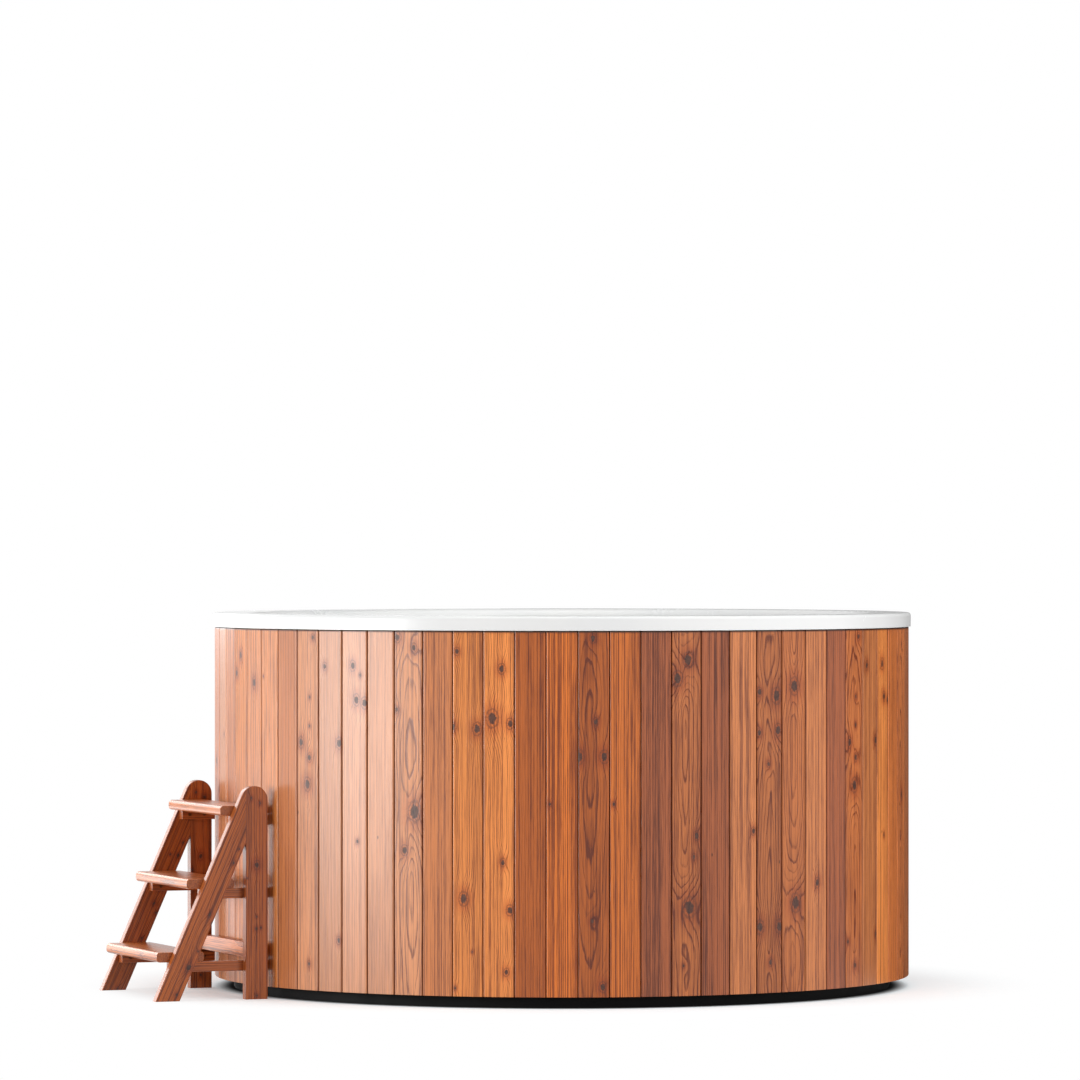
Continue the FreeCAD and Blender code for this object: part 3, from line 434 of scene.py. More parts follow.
BOARD_NOTES = {
    56: ("peach", "straight", [(0.4, 0.73, 5)]),
    57: ("copper", "straight", []),
    58: ("dark honey", "straight", [(0.0, 0.957, 9), (-0.7, 0.906, 9)]),
    59: ("dark honey", "calm", [(0.06, 0.881, 10)]),
    60: ("dark honey", "straight", [(-0.7, 0.9, 3)]),
    61: ("dark copper", "quiet", []),
    62: ("peach", "calm", [
        (0.5, 1.012, 6), (0.2, 0.846, 4), (0.18, 0.766, 4), (-0.6, 0.72, 10), (0.18, 0.678, 8),
        (0.0, 0.604, 12), (0.15, 0.105, 6)]),
    63: ("dark peach", "quiet", [(-0.45, 0.932, 7), (0.78, 0.72, 10), (0.75, 0.175, 7)]),
    64: ("peach", "quiet", [
        (-0.12, 0.935, 9), (0.46, 0.909, 5), (0.17, 0.841, 10), (0.8, 0.833, 10), (0.25, 0.45, 5)]),
    65: ("peach", "quiet", []),
    66: ("light peach", "arched", [
        (-0.75, 1.015, 9), (0.4, 0.987, 8), (-0.8, 0.816, 6), (0.45, 0.537, 17), (-0.25, 0.43, 9)]),
    67: ("copper", "straight", []),
    68: ("honey", "calm", [
        (-0.7, 0.977, 7), (0.62, 0.765, 11), (-0.95, 0.77, 8), (-0.25, 0.30, 12), (0.3, 0.155, 3),
        (-0.8, 0.055, 4)]),
    69: ("light honey", "calm", [
        (0.2, 0.93, 9), (-0.4, 0.794, 15), (0.75, 0.78, 9), (0.28, 0.40, 7), (0.73, 0.27, 9),
        (0.5, 0.10, 7)]),
    70: ("russet", "straight", []),
    71: ("light gold", "streaked", [(-0.75, 0.56, 4)]),
    0: ("russet", "arched", [
        (-0.06, 1.013, 8), (0.12, 0.785, 7), (-0.92, 0.69, 12), (0.66, 0.69, 11), (-0.08, 0.24, 6),
        (0.56, 0.06, 9)]),
    1: ("gold", "streaked", [(-0.74, 0.56, 5)]),
    2: ("mauve", "straight", []),
    3: ("sienna", "arched", [
        (0.1, 0.954, 13), (-0.6, 0.903, 13), (0.68, 0.471, 8), (0.5, 0.413, 6), (0.2, 0.275, 17),
        (-0.2, 0.115, 4)]),
    4: ("mauve", "streaked", []),
    5: ("copper", "straight", [(0.75, 0.48, 7)]),
    6: ("dark sienna", "arched", [
        (-0.8, 0.863, 8), (0.55, 0.852, 14), (-0.8, 0.751, 8), (0.68, 0.757, 11), (-0.08, 0.664, 6),
        (-0.75, 0.215, 12), (0.78, 0.215, 12), (0.08, 0.117, 7)]),
    7: ("sienna", "arched", [(0.03, 0.878, 15), (0.15, 0.278, 16)]),
    8: ("copper", "straight", [(0.1, 0.331, 9)]),
    9: ("mauve", "straight", []),
    10: ("light sienna", "arched", [
        (0.5, 1.012, 7), (0.18, 0.844, 5), (0.15, 0.765, 5), (-0.6, 0.716, 10), (0.16, 0.674, 8),
        (0.0, 0.597, 13), (-0.75, 0.16, 6), (0.07, 0.092, 7)]),
    11: ("dark copper", "straight", [(-0.45, 0.93, 8), (0.8, 0.719, 9), (0.8, 0.173, 7)]),
    12: ("light honey", "streaked", [
        (-0.12, 0.933, 10), (0.18, 0.841, 9), (0.82, 0.832, 7), (0.2, 0.45, 5)]),
    13: ("light amber", "straight", []),
    14: ("light amber", "arched", [(0.2, 0.986, 5), (0.15, 0.556, 10), (-0.1, 0.44, 5)]),
    15: ("dark amber", "streaked", []),
}
ARCH_MIDDLES = {66: 0.35, 0: 0.69, 3: 0.743, 6: 0.22, 7: 0.92}
STRIPED_BOARDS = {1: 0.26, 71: 0.1, 68: 0.12, 4: 0.2, 12: 0.3, 31: 0.3, 44: 0.3}
TONE_POOL = ["honey", "gold", "amber", "amber", "copper", "copper", "sienna", "russet", "mauve"]
FIGURE_POOL = ["straight", "straight", "streaked", "arched", "arched"]
KNOT_COUNT_POOL = (0, 0, 1, 2, 3, 5)
BOARD_SEED = 11
print("boards described by hand:", len(BOARD_NOTES))

# %% [markdown]
# A note's words have to become numbers. An arched board has its pith close behind it, a calm one a little to
# the side, all others far off. The strengths say how much rings, streaks and fibres show. The numbers go into
# every point of the mesh with the point's place in the board, so the grain moves with the timber.

# %% Grain settings
STRENGTHS = {
    "arched": (0.9, 2.6, 2.8),
    "calm": (0.8, 2.6, 2.6),
    "quiet": (0.3, 1.4, 1.6),
    "streaked": (0.5, 6.4, 3.0),
    "straight": (0.5, 4.0, 3.0),
}
SWING = 0.02
MOST_SEED = 40.0
SHARP_ANGLE = 50


def grain_settings(tone, figure, knots, half_width, chooser, arch_middle=None):
    """The values that one board's mesh carries for the cedar finish."""
    word, _, colour = tone.rpartition(" ")
    pale, deep = TONES[colour]
    shade = SHADES[word] * chooser.uniform(0.97, 1.03)
    side = chooser.choice((-1, 1))
    if figure == "arched":
        beside = chooser.uniform(-0.01, 0.01)
        middle = arch_middle or chooser.uniform(0.2, 0.9)
        pith = (beside, middle, chooser.uniform(0.06, 0.085))
        form = (chooser.uniform(0.012, 0.022), chooser.uniform(0.0065, 0.0085))
    elif figure == "calm":
        pith = (side * chooser.uniform(0.05, 0.09), chooser.uniform(0.3, 0.8), 0.03)
        form = (SWING, chooser.uniform(0.0045, 0.0055))
    elif figure == "streaked":
        pith = (side * chooser.uniform(0.12, 0.2), 0.5, 0.02)
        form = (SWING, chooser.uniform(0.003, 0.004))
    else:
        pith = (side * chooser.uniform(0.2, 0.3), 0.5, 0.02)
        form = (SWING, chooser.uniform(0.0036, 0.0048))
    settings = {
        "pith": pith,
        "figure": form + (chooser.uniform(0.0, MOST_SEED),),
        "strength": STRENGTHS[figure],
        "pale": [channel * shade for channel in pale[:3]],
        "deep": [channel * shade for channel in deep[:3]],
    }
    for name in knot_names:
        settings[name] = NO_KNOT
    for name, (place, height, radius) in zip(knot_names, knots):
        settings[name] = (place * half_width, height, radius / 1000)
    return settings


def new_timber_mesh():
    """An empty mesh with room for the grain values on every point."""
    bm = bmesh.new()
    for name in [label.lower() for label in grain_labels] + ["edge"]:
        bm.verts.layers.float_vector.new(name)
    return bm


def stamp_grain(bm, verts, settings, place_of):
    """Writes one board's grain values, and each point's place in the board, into the mesh."""
    layers = bm.verts.layers.float_vector
    for name, value in settings.items():
        for vert in verts:
            vert[layers[name]] = value
    for vert in verts:
        vert[layers["place"]] = place_of(vert.co)


def add_piece(name, bm, material, body, nodes):
    """Turns a finished bmesh into a piece that rides on a body and stands for the named nodes."""
    mesh = bpy.data.meshes.new(name)
    bmesh.ops.recalc_face_normals(bm, faces=bm.faces)
    bm.to_mesh(mesh)
    bm.free()
    mesh.shade_smooth()
    mesh.set_sharp_from_angle(angle=math.radians(SHARP_ANGLE))
    mesh.materials.append(material)
    piece = new_object(name, mesh)
    flats = piece.modifiers.new("flat_faces", "WEIGHTED_NORMAL")
    flats.keep_sharp = True
    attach(piece, body)
    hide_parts(*nodes)


print("grain settings ready")

# %% [markdown]
# ## The cladding
#
# Each board is flat, slightly tapered in section so that seventy-two close a ring, and its two front edges
# are rounded so that a groove shows between neighbours, darkened further by painted shade. One section swept
# up the height makes a board. A short inset at both ends breaks the saw-cut edge, and one more level takes
# the painted shadow under the rim. A cube with a bevel modifier would also do, but this way the taper is
# exact and the grain goes in with it.

# %% Stave section
CLAD_RADIUS = 1.0
STAVES = 72
FIRST_BEARING = 4.853
STAVE_THICKNESS = 0.024
STAVE_BEVEL = 0.005
STAVE_GAP = 0.0004
END_EASE = 0.0008
# Depth of the painted shadow under the rim.
RIM_SHADE = 0.006
EASE_STEPS = 5
PANELS = 9
half_turn = math.pi / STAVES
stave_face = CLAD_RADIUS * math.cos(half_turn)
stave_half = stave_face * math.tan(half_turn)
stave_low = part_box("cladding_panel_1")[0].z
stave_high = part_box("cladding_panel_1")[1].z


def stave_section(inset, bored=False):
    """Outline of a board seen from above, facing along X. A bored one has points in its middle too."""
    face = stave_face - inset
    shoulder = stave_face - STAVE_BEVEL
    back = stave_face - STAVE_THICKNESS
    shoulder_half = shoulder * math.tan(half_turn) - STAVE_GAP - inset
    right = [(back, back * math.tan(half_turn) - STAVE_GAP - inset)]
    for step in range(EASE_STEPS + 1):
        turn = math.pi / 2 * step / EASE_STEPS
        out = shoulder + (face - shoulder) * math.sin(turn)
        right.append((out, shoulder_half - STAVE_BEVEL * (1 - math.cos(turn))))
    left = [(out, -half) for out, half in reversed(right)]
    return right + [(face, 0.0)] + left + [(back, 0.0)] if bored else right + left


print("points in a board's section:", len(stave_section(0)))

# %% [markdown]
# Three boards at the back are bored for the pipes. A boolean modifier could cut the holes, but its new points
# would still need grain values. Here the front and the back of a short stretch are built as two faces each
# round a ring of points, and a tube joins the two rings.

# %% Hole for a pipe
HOLE_RADIUS = 0.026
HOLE_SIDES = 32
HOLE_STRETCH = 0.034
HOLES = {33: "suction_pipe", 35: "drain_pipe", 37: "return_pipe"}


def bore_hole(bm, lower, upper, height):
    """Opens a round hole through the stretch of a bored board between two levels. Gives back its points."""
    count = len(lower)
    half = HOLE_SIDES // 2
    turns = [2 * math.pi * step / HOLE_SIDES for step in range(HOLE_SIDES)]
    circle = [(HOLE_RADIUS * math.sin(turn), height + HOLE_RADIUS * math.cos(turn)) for turn in turns]
    front = (count // 2 - 2, count // 2 - 1, count // 2)
    back = (0, count - 1, count - 2)
    mouths = []
    for right, middle, left in (front, back):
        out = lower[middle].co.x
        mouth = [bm.verts.new((out, side, z)) for side, z in circle]
        bm.faces.new([lower[right], upper[right], upper[middle]] + mouth[:half + 1] + [lower[middle]])
        bm.faces.new([lower[middle]] + mouth[half:] + mouth[:1] + [upper[middle], upper[left], lower[left]])
        mouths.append(mouth)
    for here in range(HOLE_SIDES):
        after = (here + 1) % HOLE_SIDES
        bm.faces.new((mouths[0][here], mouths[0][after], mouths[1][after], mouths[1][here]))
    return mouths[0] + mouths[1]


for index, pipe in HOLES.items():
    print("board", index, "is bored for", pipe)

# %% [markdown]
# Every board is drawn facing along X, where its place and its edge values are easy to read off, and only then
# turned to its bearing in the ring. Eight neighbours make one piece, as in the solids that they stand for.


# %% Build the boards
def add_board(bm, index, settings, stripe):
    """One board of the ring at its bearing, with a dark stripe of some strength on its right side."""
    bearing = math.radians(FIRST_BEARING + 360 / STAVES * index)
    stand = Matrix.Rotation(bearing - math.pi / 2, 4, "Z")
    levels = [(stave_low, END_EASE), (stave_low + END_EASE, 0), (stave_high - RIM_SHADE, 0),
              (stave_high - END_EASE, 0), (stave_high, END_EASE)]
    bored = index in HOLES
    if bored:
        pipe_height = sum(corner.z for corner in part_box(HOLES[index])) / 2
        levels[2:2] = [(pipe_height - HOLE_STRETCH, 0), (pipe_height + HOLE_STRETCH, 0)]
    rings = []
    for z, inset in levels:
        rings.append([bm.verts.new((out, half, z)) for out, half in stave_section(inset, bored)])
    verts = [vert for ring in rings for vert in ring]
    for step, (lower, upper) in enumerate(zip(rings, rings[1:])):
        count = len(lower)
        open_sides = (count // 2 - 2, count // 2 - 1, count - 2, count - 1) if bored and step == 2 else ()
        for here in range(count):
            after = (here + 1) % count
            if here not in open_sides:
                bm.faces.new((lower[here], lower[after], upper[after], upper[here]))
        if open_sides:
            verts += bore_hole(bm, lower, upper, pipe_height)
    bm.faces.new(rings[0])
    bm.faces.new(rings[-1])
    stamp_grain(bm, verts, settings, lambda co: (co.y, co.z, co.x - stave_face))
    for vert in verts:
        sunk = min(1.0, (stave_face - vert.co.x) / STAVE_BEVEL)
        # Top points carry the painted shadow under the rim.
        painted_rim_shadow = 1.0 if vert.co.z > stave_high - RIM_SHADE / 2 else 0.0
        vert[bm.verts.layers.float_vector["edge"]] = (sunk, stripe, painted_rim_shadow)
    bmesh.ops.transform(bm, matrix=stand, verts=verts)


board_chooser = random.Random(BOARD_SEED)
board_settings = []
for index in range(STAVES):
    tone = board_chooser.choice(TONE_POOL)
    figure = board_chooser.choice(FIGURE_POOL)
    knots = []
    for _ in range(board_chooser.choice(KNOT_COUNT_POOL)):
        place = board_chooser.uniform(-0.8, 0.8)
        height = board_chooser.uniform(0.06, 1.0)
        knots.append((place, height, board_chooser.uniform(3, 12)))
    tone, figure, knots = BOARD_NOTES.get(index, (tone, figure, knots))
    arch_middle = ARCH_MIDDLES.get(index)
    board_settings.append(grain_settings(tone, figure, knots, stave_half, random.Random(index), arch_middle))

for panel in range(PANELS):
    bm = new_timber_mesh()
    for index in range(panel * STAVES // PANELS, (panel + 1) * STAVES // PANELS):
        add_board(bm, index, board_settings[index], STRIPED_BOARDS.get(index, 0.0))
    add_piece(f"cladding_boards_{panel + 1}", bm, cladding_cedar, "tub",
              [f"cladding_panel_{panel + 1}"])
print("boards built:", STAVES)

# %% [markdown]
# ## The ladder
#
# The ladder is cut from the same cedar: two upright posts, two leaning stringers that share a rounded head
# with them, three treads with rounded noses, a cleat under each tread end and one low brace. Every timber is
# a flat outline pushed out sideways, drawn in the ladder's own frame: s runs out from the wall, v to the
# right of someone climbing, z up.

# %% Ladder frame
LADDER_TURN = 201.35
LADDER_BACK = 0.985
POST_DEPTH = 0.0643
FRAME_OUTER = 0.260
FRAME_INNER = 0.232
HEAD_RADIUS = 0.039
HEAD_HEIGHT = 0.556
TOE = 0.32924
LEAN = 0.445229
FOOT_WIDTH = 0.07039
ladder_stand = Matrix.Rotation(math.radians(LADDER_TURN), 4, "Z") @ Matrix.Translation((LADDER_BACK, 0, 0))
joint_turn = math.acos((POST_DEPTH - HEAD_RADIUS) / HEAD_RADIUS)
lean_turn = math.atan(LEAN)
crotch_height = (TOE - FOOT_WIDTH - POST_DEPTH) / LEAN


def head_arc(start, end, steps):
    """Points along the rounded head, from one angle above the horizontal to another."""
    turns = [start + (end - start) * step / steps for step in range(steps + 1)]
    return [(HEAD_RADIUS + HEAD_RADIUS * math.cos(t), HEAD_HEIGHT + HEAD_RADIUS * math.sin(t)) for t in turns]


post_outline = [(0, 0), (POST_DEPTH, 0)] + head_arc(joint_turn, math.pi, steps=16)
stringer_outline = [(TOE - FOOT_WIDTH, 0), (TOE, 0)] + head_arc(lean_turn, joint_turn, steps=5)
stringer_outline += [(POST_DEPTH, crotch_height)]
print("ladder head joint at", round(math.degrees(joint_turn), 1), "degrees")

# %% [markdown]
# One function draws every timber: it pushes the outline out, eases the sharp edges as sandpaper does, and
# tells the grain which way the timber runs. A bevel modifier would ease all edges alike, but the feet and the
# glued face between post and stringer stay square. Knots are given as places from the timber's middle, across
# and along it in metres, with the radius in millimetres.

# %% Timber function
ARRIS = 0.0025
EASED_ANGLE = 25
EASED_STEPS = 3
END_DEPTH = 0.0002
TOUCHING = 1e-6
FRAME_CEDAR = ("chestnut", "straight")
SEEDS = {"post": 21, "stringer": 31, "tread": 41, "cleat": 51, "brace": 71}
SIDES = (("right", 1), ("left", -1))


def timber(name, outline, low, high, along, cedar, seed, knots=(), bevel=ARRIS, keep_sharp=None,
           end_grain=0.0):
    """A timber whose outline in s and z is pushed out from v = low to v = high."""
    bm = new_timber_mesh()
    near = [bm.verts.new((s, low, z)) for s, z in outline]
    far = [bm.verts.new((s, high, z)) for s, z in outline]
    bm.faces.new(near)
    bm.faces.new(far)
    for here in range(len(outline)):
        after = (here + 1) % len(outline)
        bm.faces.new((near[here], near[after], far[after], far[here]))
    bmesh.ops.recalc_face_normals(bm, faces=bm.faces)
    sharp = [edge for edge in bm.edges if edge.calc_face_angle() > math.radians(EASED_ANGLE)]
    eased = [edge for edge in sharp if not (keep_sharp and all(keep_sharp(vert.co) for vert in edge.verts))]
    bmesh.ops.bevel(bm, geom=eased, offset=bevel, segments=EASED_STEPS, profile=0.5, affect="EDGES",
                    clamp_overlap=True)
    middle = Vector([(min(values) + max(values)) / 2 for values in zip(*(vert.co for vert in bm.verts))])
    along = Vector(along).normalized()
    runs_sideways = abs(along.y) > 0.9
    across = Vector((1, 0, 0)) if runs_sideways else Vector((0, 1, 0)).cross(along)
    facing = along.cross(across)
    settings = grain_settings(*cedar, knots, 1.0, random.Random(seed))
    stamp_grain(bm, list(bm.verts), settings, lambda co: (
        (co - middle).dot(across), (co - middle).dot(along), (co - middle).dot(facing)))
    for vert in bm.verts:
        at_end = vert.co.y < low + END_DEPTH or vert.co.y > high - END_DEPTH
        vert[bm.verts.layers.float_vector["edge"]] = (end_grain if at_end else 0.0, 0.0, 0.0)
    bmesh.ops.transform(bm, matrix=ladder_stand, verts=bm.verts)
    add_piece(name, bm, ladder_cedar, "ladder", [f"ladder_{name}"])


def on_joint(co):
    """True on the floor and on the glued face between post and stringer, where edges stay square."""
    glued = abs(co.x - POST_DEPTH) < TOUCHING and co.z > crotch_height - TOUCHING
    return co.z < TOUCHING or glued


POST_KNOTS = {
    "right": [(0.016, 0.264, 4), (-0.009, 0.25, 4), (0.0, 0.077, 8), (0.028, 0.041, 2), (0.001, -0.067, 3),
              (0.002, -0.1, 4), (-0.012, -0.098, 3), (0.0, -0.287, 4)],
    "left": [(0.016, 0.263, 4), (-0.01, 0.249, 5), (0.002, 0.079, 7), (0.028, 0.042, 3), (0.008, -0.11, 4),
             (0.002, -0.26, 4)],
}
STRINGER_KNOTS = {
    "right": [(-0.051, 0.162, 3), (-0.0515, 0.121, 5), (-0.046, -0.0385, 5), (-0.0615, -0.058, 4),
              (-0.056, -0.145, 3), (-0.049, -0.196, 8), (-0.047, -0.28, 4), (-0.04, -0.315, 3)],
    "left": [(-0.05, 0.158, 4), (-0.051, 0.119, 5), (-0.028, 0.112, 3), (-0.04, -0.035, 5),
             (-0.0565, -0.056, 4), (-0.0465, -0.14, 4), (-0.038, -0.299, 4)],
}
for side, sign in SIDES:
    low, high = sorted((sign * FRAME_INNER, sign * FRAME_OUTER))
    timber(f"post_{side}", post_outline, low, high, (0, 0, 1), FRAME_CEDAR, SEEDS["post"] + sign,
           POST_KNOTS[side], keep_sharp=on_joint)
    timber(f"stringer_{side}", stringer_outline, low, high, (-LEAN, 0, 1), FRAME_CEDAR,
           SEEDS["stringer"] + sign, STRINGER_KNOTS[side], keep_sharp=on_joint)
print("ladder frames built")

# %% [markdown]
# A tread's long edges are rounded by a router, so its section is drawn with four quarter circles. Its sawn
# ends drink more oil and come out darker, which the end grain value does. The table gives each tread's top,
# its rear and front edge, and where its cleats end.

# %% Treads, cleats and brace
TREAD_CEDAR = ("amber", "straight")
TREAD_THICKNESS = 0.028
TREAD_EDGE = 0.010
NOSE_STEPS = 5
CLEAT = 0.028
SMALL_ARRIS = 0.0015
TREADS = {
    "bottom": (0.135, 0.1776, 0.3166, 0.2786),
    "middle": (0.3375, 0.0900, 0.2290, 0.1884),
    "top": (0.540, 0.018, 0.1308, 0.0983),
}
BRACE = (0.01815, 0.04615, 0.114, 0.156)


def rectangle(low_s, high_s, low_z, high_z):
    return [(low_s, low_z), (high_s, low_z), (high_s, high_z), (low_s, high_z)]


def tread_outline(rear, front, top):
    """A tread's section: flat top and bottom, with all four long edges rounded."""
    corners = [(rear, top - TREAD_THICKNESS, 1, 1, 180), (front, top - TREAD_THICKNESS, -1, 1, 270),
               (front, top, -1, -1, 0), (rear, top, 1, -1, 90)]
    points = []
    for s, z, inward, upward, start in corners:
        for step in range(NOSE_STEPS + 1):
            turn = math.radians(start + 90 * step / NOSE_STEPS)
            points.append((s + inward * TREAD_EDGE + TREAD_EDGE * math.cos(turn),
                           z + upward * TREAD_EDGE + TREAD_EDGE * math.sin(turn)))
    return points


for number, (word, (top, rear, front, cleat_end)) in enumerate(TREADS.items()):
    timber(f"tread_{word}", tread_outline(rear, front, top), -FRAME_INNER, FRAME_INNER, (0, 1, 0),
           TREAD_CEDAR, SEEDS["tread"] + number, bevel=SMALL_ARRIS, end_grain=1.0)
    cleat_top = top - TREAD_THICKNESS
    cleat_outline = rectangle(0, cleat_end, cleat_top - CLEAT, cleat_top)
    for side, sign in SIDES:
        low, high = sorted((sign * FRAME_INNER, sign * (FRAME_INNER - CLEAT)))
        timber(f"cleat_{word}_{side}", cleat_outline, low, high, (1, 0, 0), FRAME_CEDAR,
               SEEDS["cleat"] + 2 * number + sign, bevel=SMALL_ARRIS)
timber("brace", rectangle(*BRACE), -FRAME_INNER, FRAME_INNER, (0, 1, 0), TREAD_CEDAR, SEEDS["brace"],
       bevel=SMALL_ARRIS)
print("treads, cleats and brace built")

# %% [markdown]
# ## Moulded skins
#
# The shell, the black tray and the pipe fittings are moulded plastic. A moulded skin is never one flat tone:
# it has a slow cloudiness from the way the material flowed and a fine grain copied from the mould. One group
# gives both, and each finish sets how coarse they are and mixes its own two shades. The seals and the foam
# are made the same way, only duller.

# %% Moulded skin group
CLOUD_EDGES = (0.25, 0.75)
GRAIN_ROUGHNESS = 0.04
skin_group, wires, given, put = new_group(
    "Moulded skin",
    [("Cloud size", "Float"), ("Grain size", "Float")],
    [("Cloud", "Float"), ("Grain", "Float")],
)
object_place = wires.node("ShaderNodeTexCoord").outputs["Object"]
cloud_scale = wires.math("DIVIDE", 1.0, given["Cloud size"])
grain_scale = wires.math("DIVIDE", 1.0, given["Grain size"])
wires.feed(put["Cloud"], wires.ease(wires.noise(object_place, cloud_scale, 3.0, 0.55), *CLOUD_EDGES))
wires.feed(put["Grain"], wires.noise(object_place, grain_scale, 2.0, 0.6))


def moulded(name, shades, gloss, sizes, relief, shine):
    """A moulded plastic with two close shades, a range of roughness and a grain."""
    material, wires, shader = new_material(name)
    skin = wires.group(skin_group, {"Cloud size": sizes[0], "Grain size": sizes[1]})
    wires.feed(shader["Base Color"], wires.mix(skin["Cloud"], *shades))
    rough = wires.times_add(skin["Cloud"], gloss[1] - gloss[0], gloss[0])
    wires.feed(shader["Roughness"], wires.times_add(skin["Grain"], GRAIN_ROUGHNESS, rough))
    wires.feed(shader["Normal"], wires.bump(skin["Grain"], *relief))
    shader["Specular IOR Level"].default_value = shine
    return material


print("skin group:", len(skin_group.nodes), "nodes")

# %% [markdown]
# Each row of the table is one finish: its name, its two shades, the range of its roughness, the size of its
# clouds and of its grain, and the strength and height of its bump. Only the tray has its shine turned down,
# because it lies in dust and shade under the boards.

# %% Moulded finishes
MOULDED = {
    "shell_white": (
        "shell_gelcoat", (236, 236, 235), (231, 232, 232), (0.2, 0.26), (0.35, 0.012), (0.04, 0.0006)),
    "base_black": (
        "tray_black", (16, 16, 16), (23, 23, 23), (0.6, 0.75), (0.08, 0.0015), (0.3, 0.0003)),
    "pipe_grey": (
        "pipe_grey_plastic", (128, 132, 135), (140, 143, 146), (0.35, 0.48), (0.05, 0.002), (0.12, 0.0002)),
    "fitting_white": (
        "fitting_white_plastic", (240, 240, 238), (230, 231, 230), (0.22, 0.32), (0.04, 0.002),
        (0.1, 0.0002)),
    "plate_black": (
        "plate_black_plastic", (40, 40, 41), (52, 52, 53), (0.35, 0.5), (0.03, 0.001), (0.25, 0.0002)),
    "valve_red": (
        "lever_red_plastic", (176, 28, 24), (150, 22, 20), (0.3, 0.42), (0.03, 0.0012), (0.2, 0.0002)),
    "seat_white": (
        "seat_white_plastic", (236, 236, 232), (226, 226, 222), (0.4, 0.5), (0.02, 0.001), (0.1, 0.0001)),
    "seal_rubber": (
        "seal_black_rubber", (30, 30, 30), (42, 41, 40), (0.6, 0.75), (0.02, 0.0012), (0.3, 0.0003)),
    "foam": (
        "rigid_foam", (238, 228, 190), (222, 210, 168), (0.8, 0.92), (0.06, 0.003), (0.6, 0.001)),
}
FULL_SHINE = 0.5
TRAY_SHINE = 0.15
finishes = {"cladding_cedar": cladding_cedar, "ladder_cedar": ladder_cedar}
for slot, (name, first, second, gloss, sizes, relief) in MOULDED.items():
    shine = TRAY_SHINE if slot == "base_black" else FULL_SHINE
    finishes[slot] = moulded(name, (tint(*first), tint(*second)), gloss, sizes, relief, shine)
print("moulded finishes:", len(MOULDED))

# %% [markdown]
# ## Inner timber and steel
#
# The hidden frame is planed softwood, the deck plywood, the dowels beech. They borrow the cedar group with
# the object's own coordinates as the place, no knots, and paler tones. The drain and the screws are steel,
# brushed in fine lines: noise squeezed thin in one direction, used for colour, roughness and bump.

# %% Timber and steel finishes
PLAIN_SWING = 0.05
PLAIN_SEED = 3.0
PLAIN_STRENGTH = (0.6, 1.0, 1.5)
PLAIN_BUMP = 0.3
LINE_STRETCH = 0.02
STEEL_ROUGHNESS = 0.2
LINE_ROUGHNESS = 0.25
LINE_BUMP = (0.1, 0.0001)


def plain_timber(name, pale, deep, pith, ring_size):
    """Wood inside the tub: the cedar group with one setting for the whole piece."""
    material, wires, shader = new_material(name)
    place = wires.node("ShaderNodeTexCoord").outputs["Object"]
    form = (PLAIN_SWING, ring_size, PLAIN_SEED)
    grain = {"Place": place, "Pith": pith, "Figure": form, "Strength": PLAIN_STRENGTH,
             "Pale": tint(*pale), "Deep": tint(*deep)}
    grain.update({label: NO_KNOT for label in knot_names})
    figure = wires.group(cedar_group, grain)
    wires.feed(shader["Base Color"], figure["Color"])
    wires.feed(shader["Roughness"], figure["Roughness"])
    wires.feed(shader["Normal"], wires.bump(figure["Height"], PLAIN_BUMP, GRAIN_DEPTH))
    return material


def brushed(name, first, second, line_scale):
    """Steel with fine lines drawn along one direction."""
    material, wires, shader = new_material(name)
    place = wires.node("ShaderNodeTexCoord").outputs["Object"]
    drawn = wires.vector("MULTIPLY", place, (line_scale, line_scale * LINE_STRETCH, line_scale))
    lines = wires.noise(drawn, 1.0, 3.0, 0.6)
    wires.feed(shader["Base Color"], wires.mix(lines, tint(*first), tint(*second)))
    wires.feed(shader["Roughness"], wires.times_add(lines, LINE_ROUGHNESS, STEEL_ROUGHNESS))
    wires.feed(shader["Normal"], wires.bump(lines, *LINE_BUMP))
    shader["Metallic"].default_value = 1.0
    return material


PLAIN_TIMBERS = {
    "frame_timber": ("planed_softwood", (226, 196, 150), (198, 158, 106), (0.2, 0.1, 0.01), 0.006),
    "plywood": ("sanded_plywood", (222, 192, 148), (196, 158, 112), (0.05, 0.03, 0.03), 0.009),
    "dowel_beech": ("turned_beech", (222, 186, 146), (204, 162, 120), (0.2, 0.1, 0.01), 0.002),
}
STEELS = {
    "drain_steel": ("drain_brushed_steel", (214, 214, 212), (190, 190, 189), 900.0),
    "steel_screws": ("coated_screw_steel", (112, 86, 66), (88, 66, 50), 1500.0),
}
finishes.update({slot: plain_timber(*row) for slot, row in PLAIN_TIMBERS.items()})
finishes.update({slot: brushed(*row) for slot, row in STEELS.items()})
print("finishes in all:", len(finishes))

# %% [markdown]
# The record that came with the model says which finish each solid has, so one loop can hand them all out.
# The solids of boards and ladder timbers get the cedar too, although finer meshes stand in for them.

# %% Dress the solids
for part in frame["record"]["subparts"]:
    solid = frame["nodes"][part["node"]]
    solid.data.materials.clear()
    solid.data.materials.append(finishes[part["material_slot"]])

# %% [markdown]
# ## Studio
#
# The tub stands on a seamless white sweep. A floor that is only painted white would come out grey in the
# corners, so away from the tub it glows where the camera sees it. Close to the tub it glows only a little and
# keeps the shadows that the lamps throw, and under the overhang of the boards a painted shadow makes it dark.
# Bounced light meets a plain matt floor instead, so that the glow doesn't light the tub from below.

# %% Floor and world
FLOOR_HALF = 60.0
FLOOR_NEAR = 1.02
FLOOR_FAR = 1.42
FLOOR_GLOW = 0.24
OVERHANG_EDGE = CLAD_RADIUS + 0.01
TRAY_EDGE = 0.95
WORLD_LIGHT = 0.3
WHITE = tint(255, 255, 255)


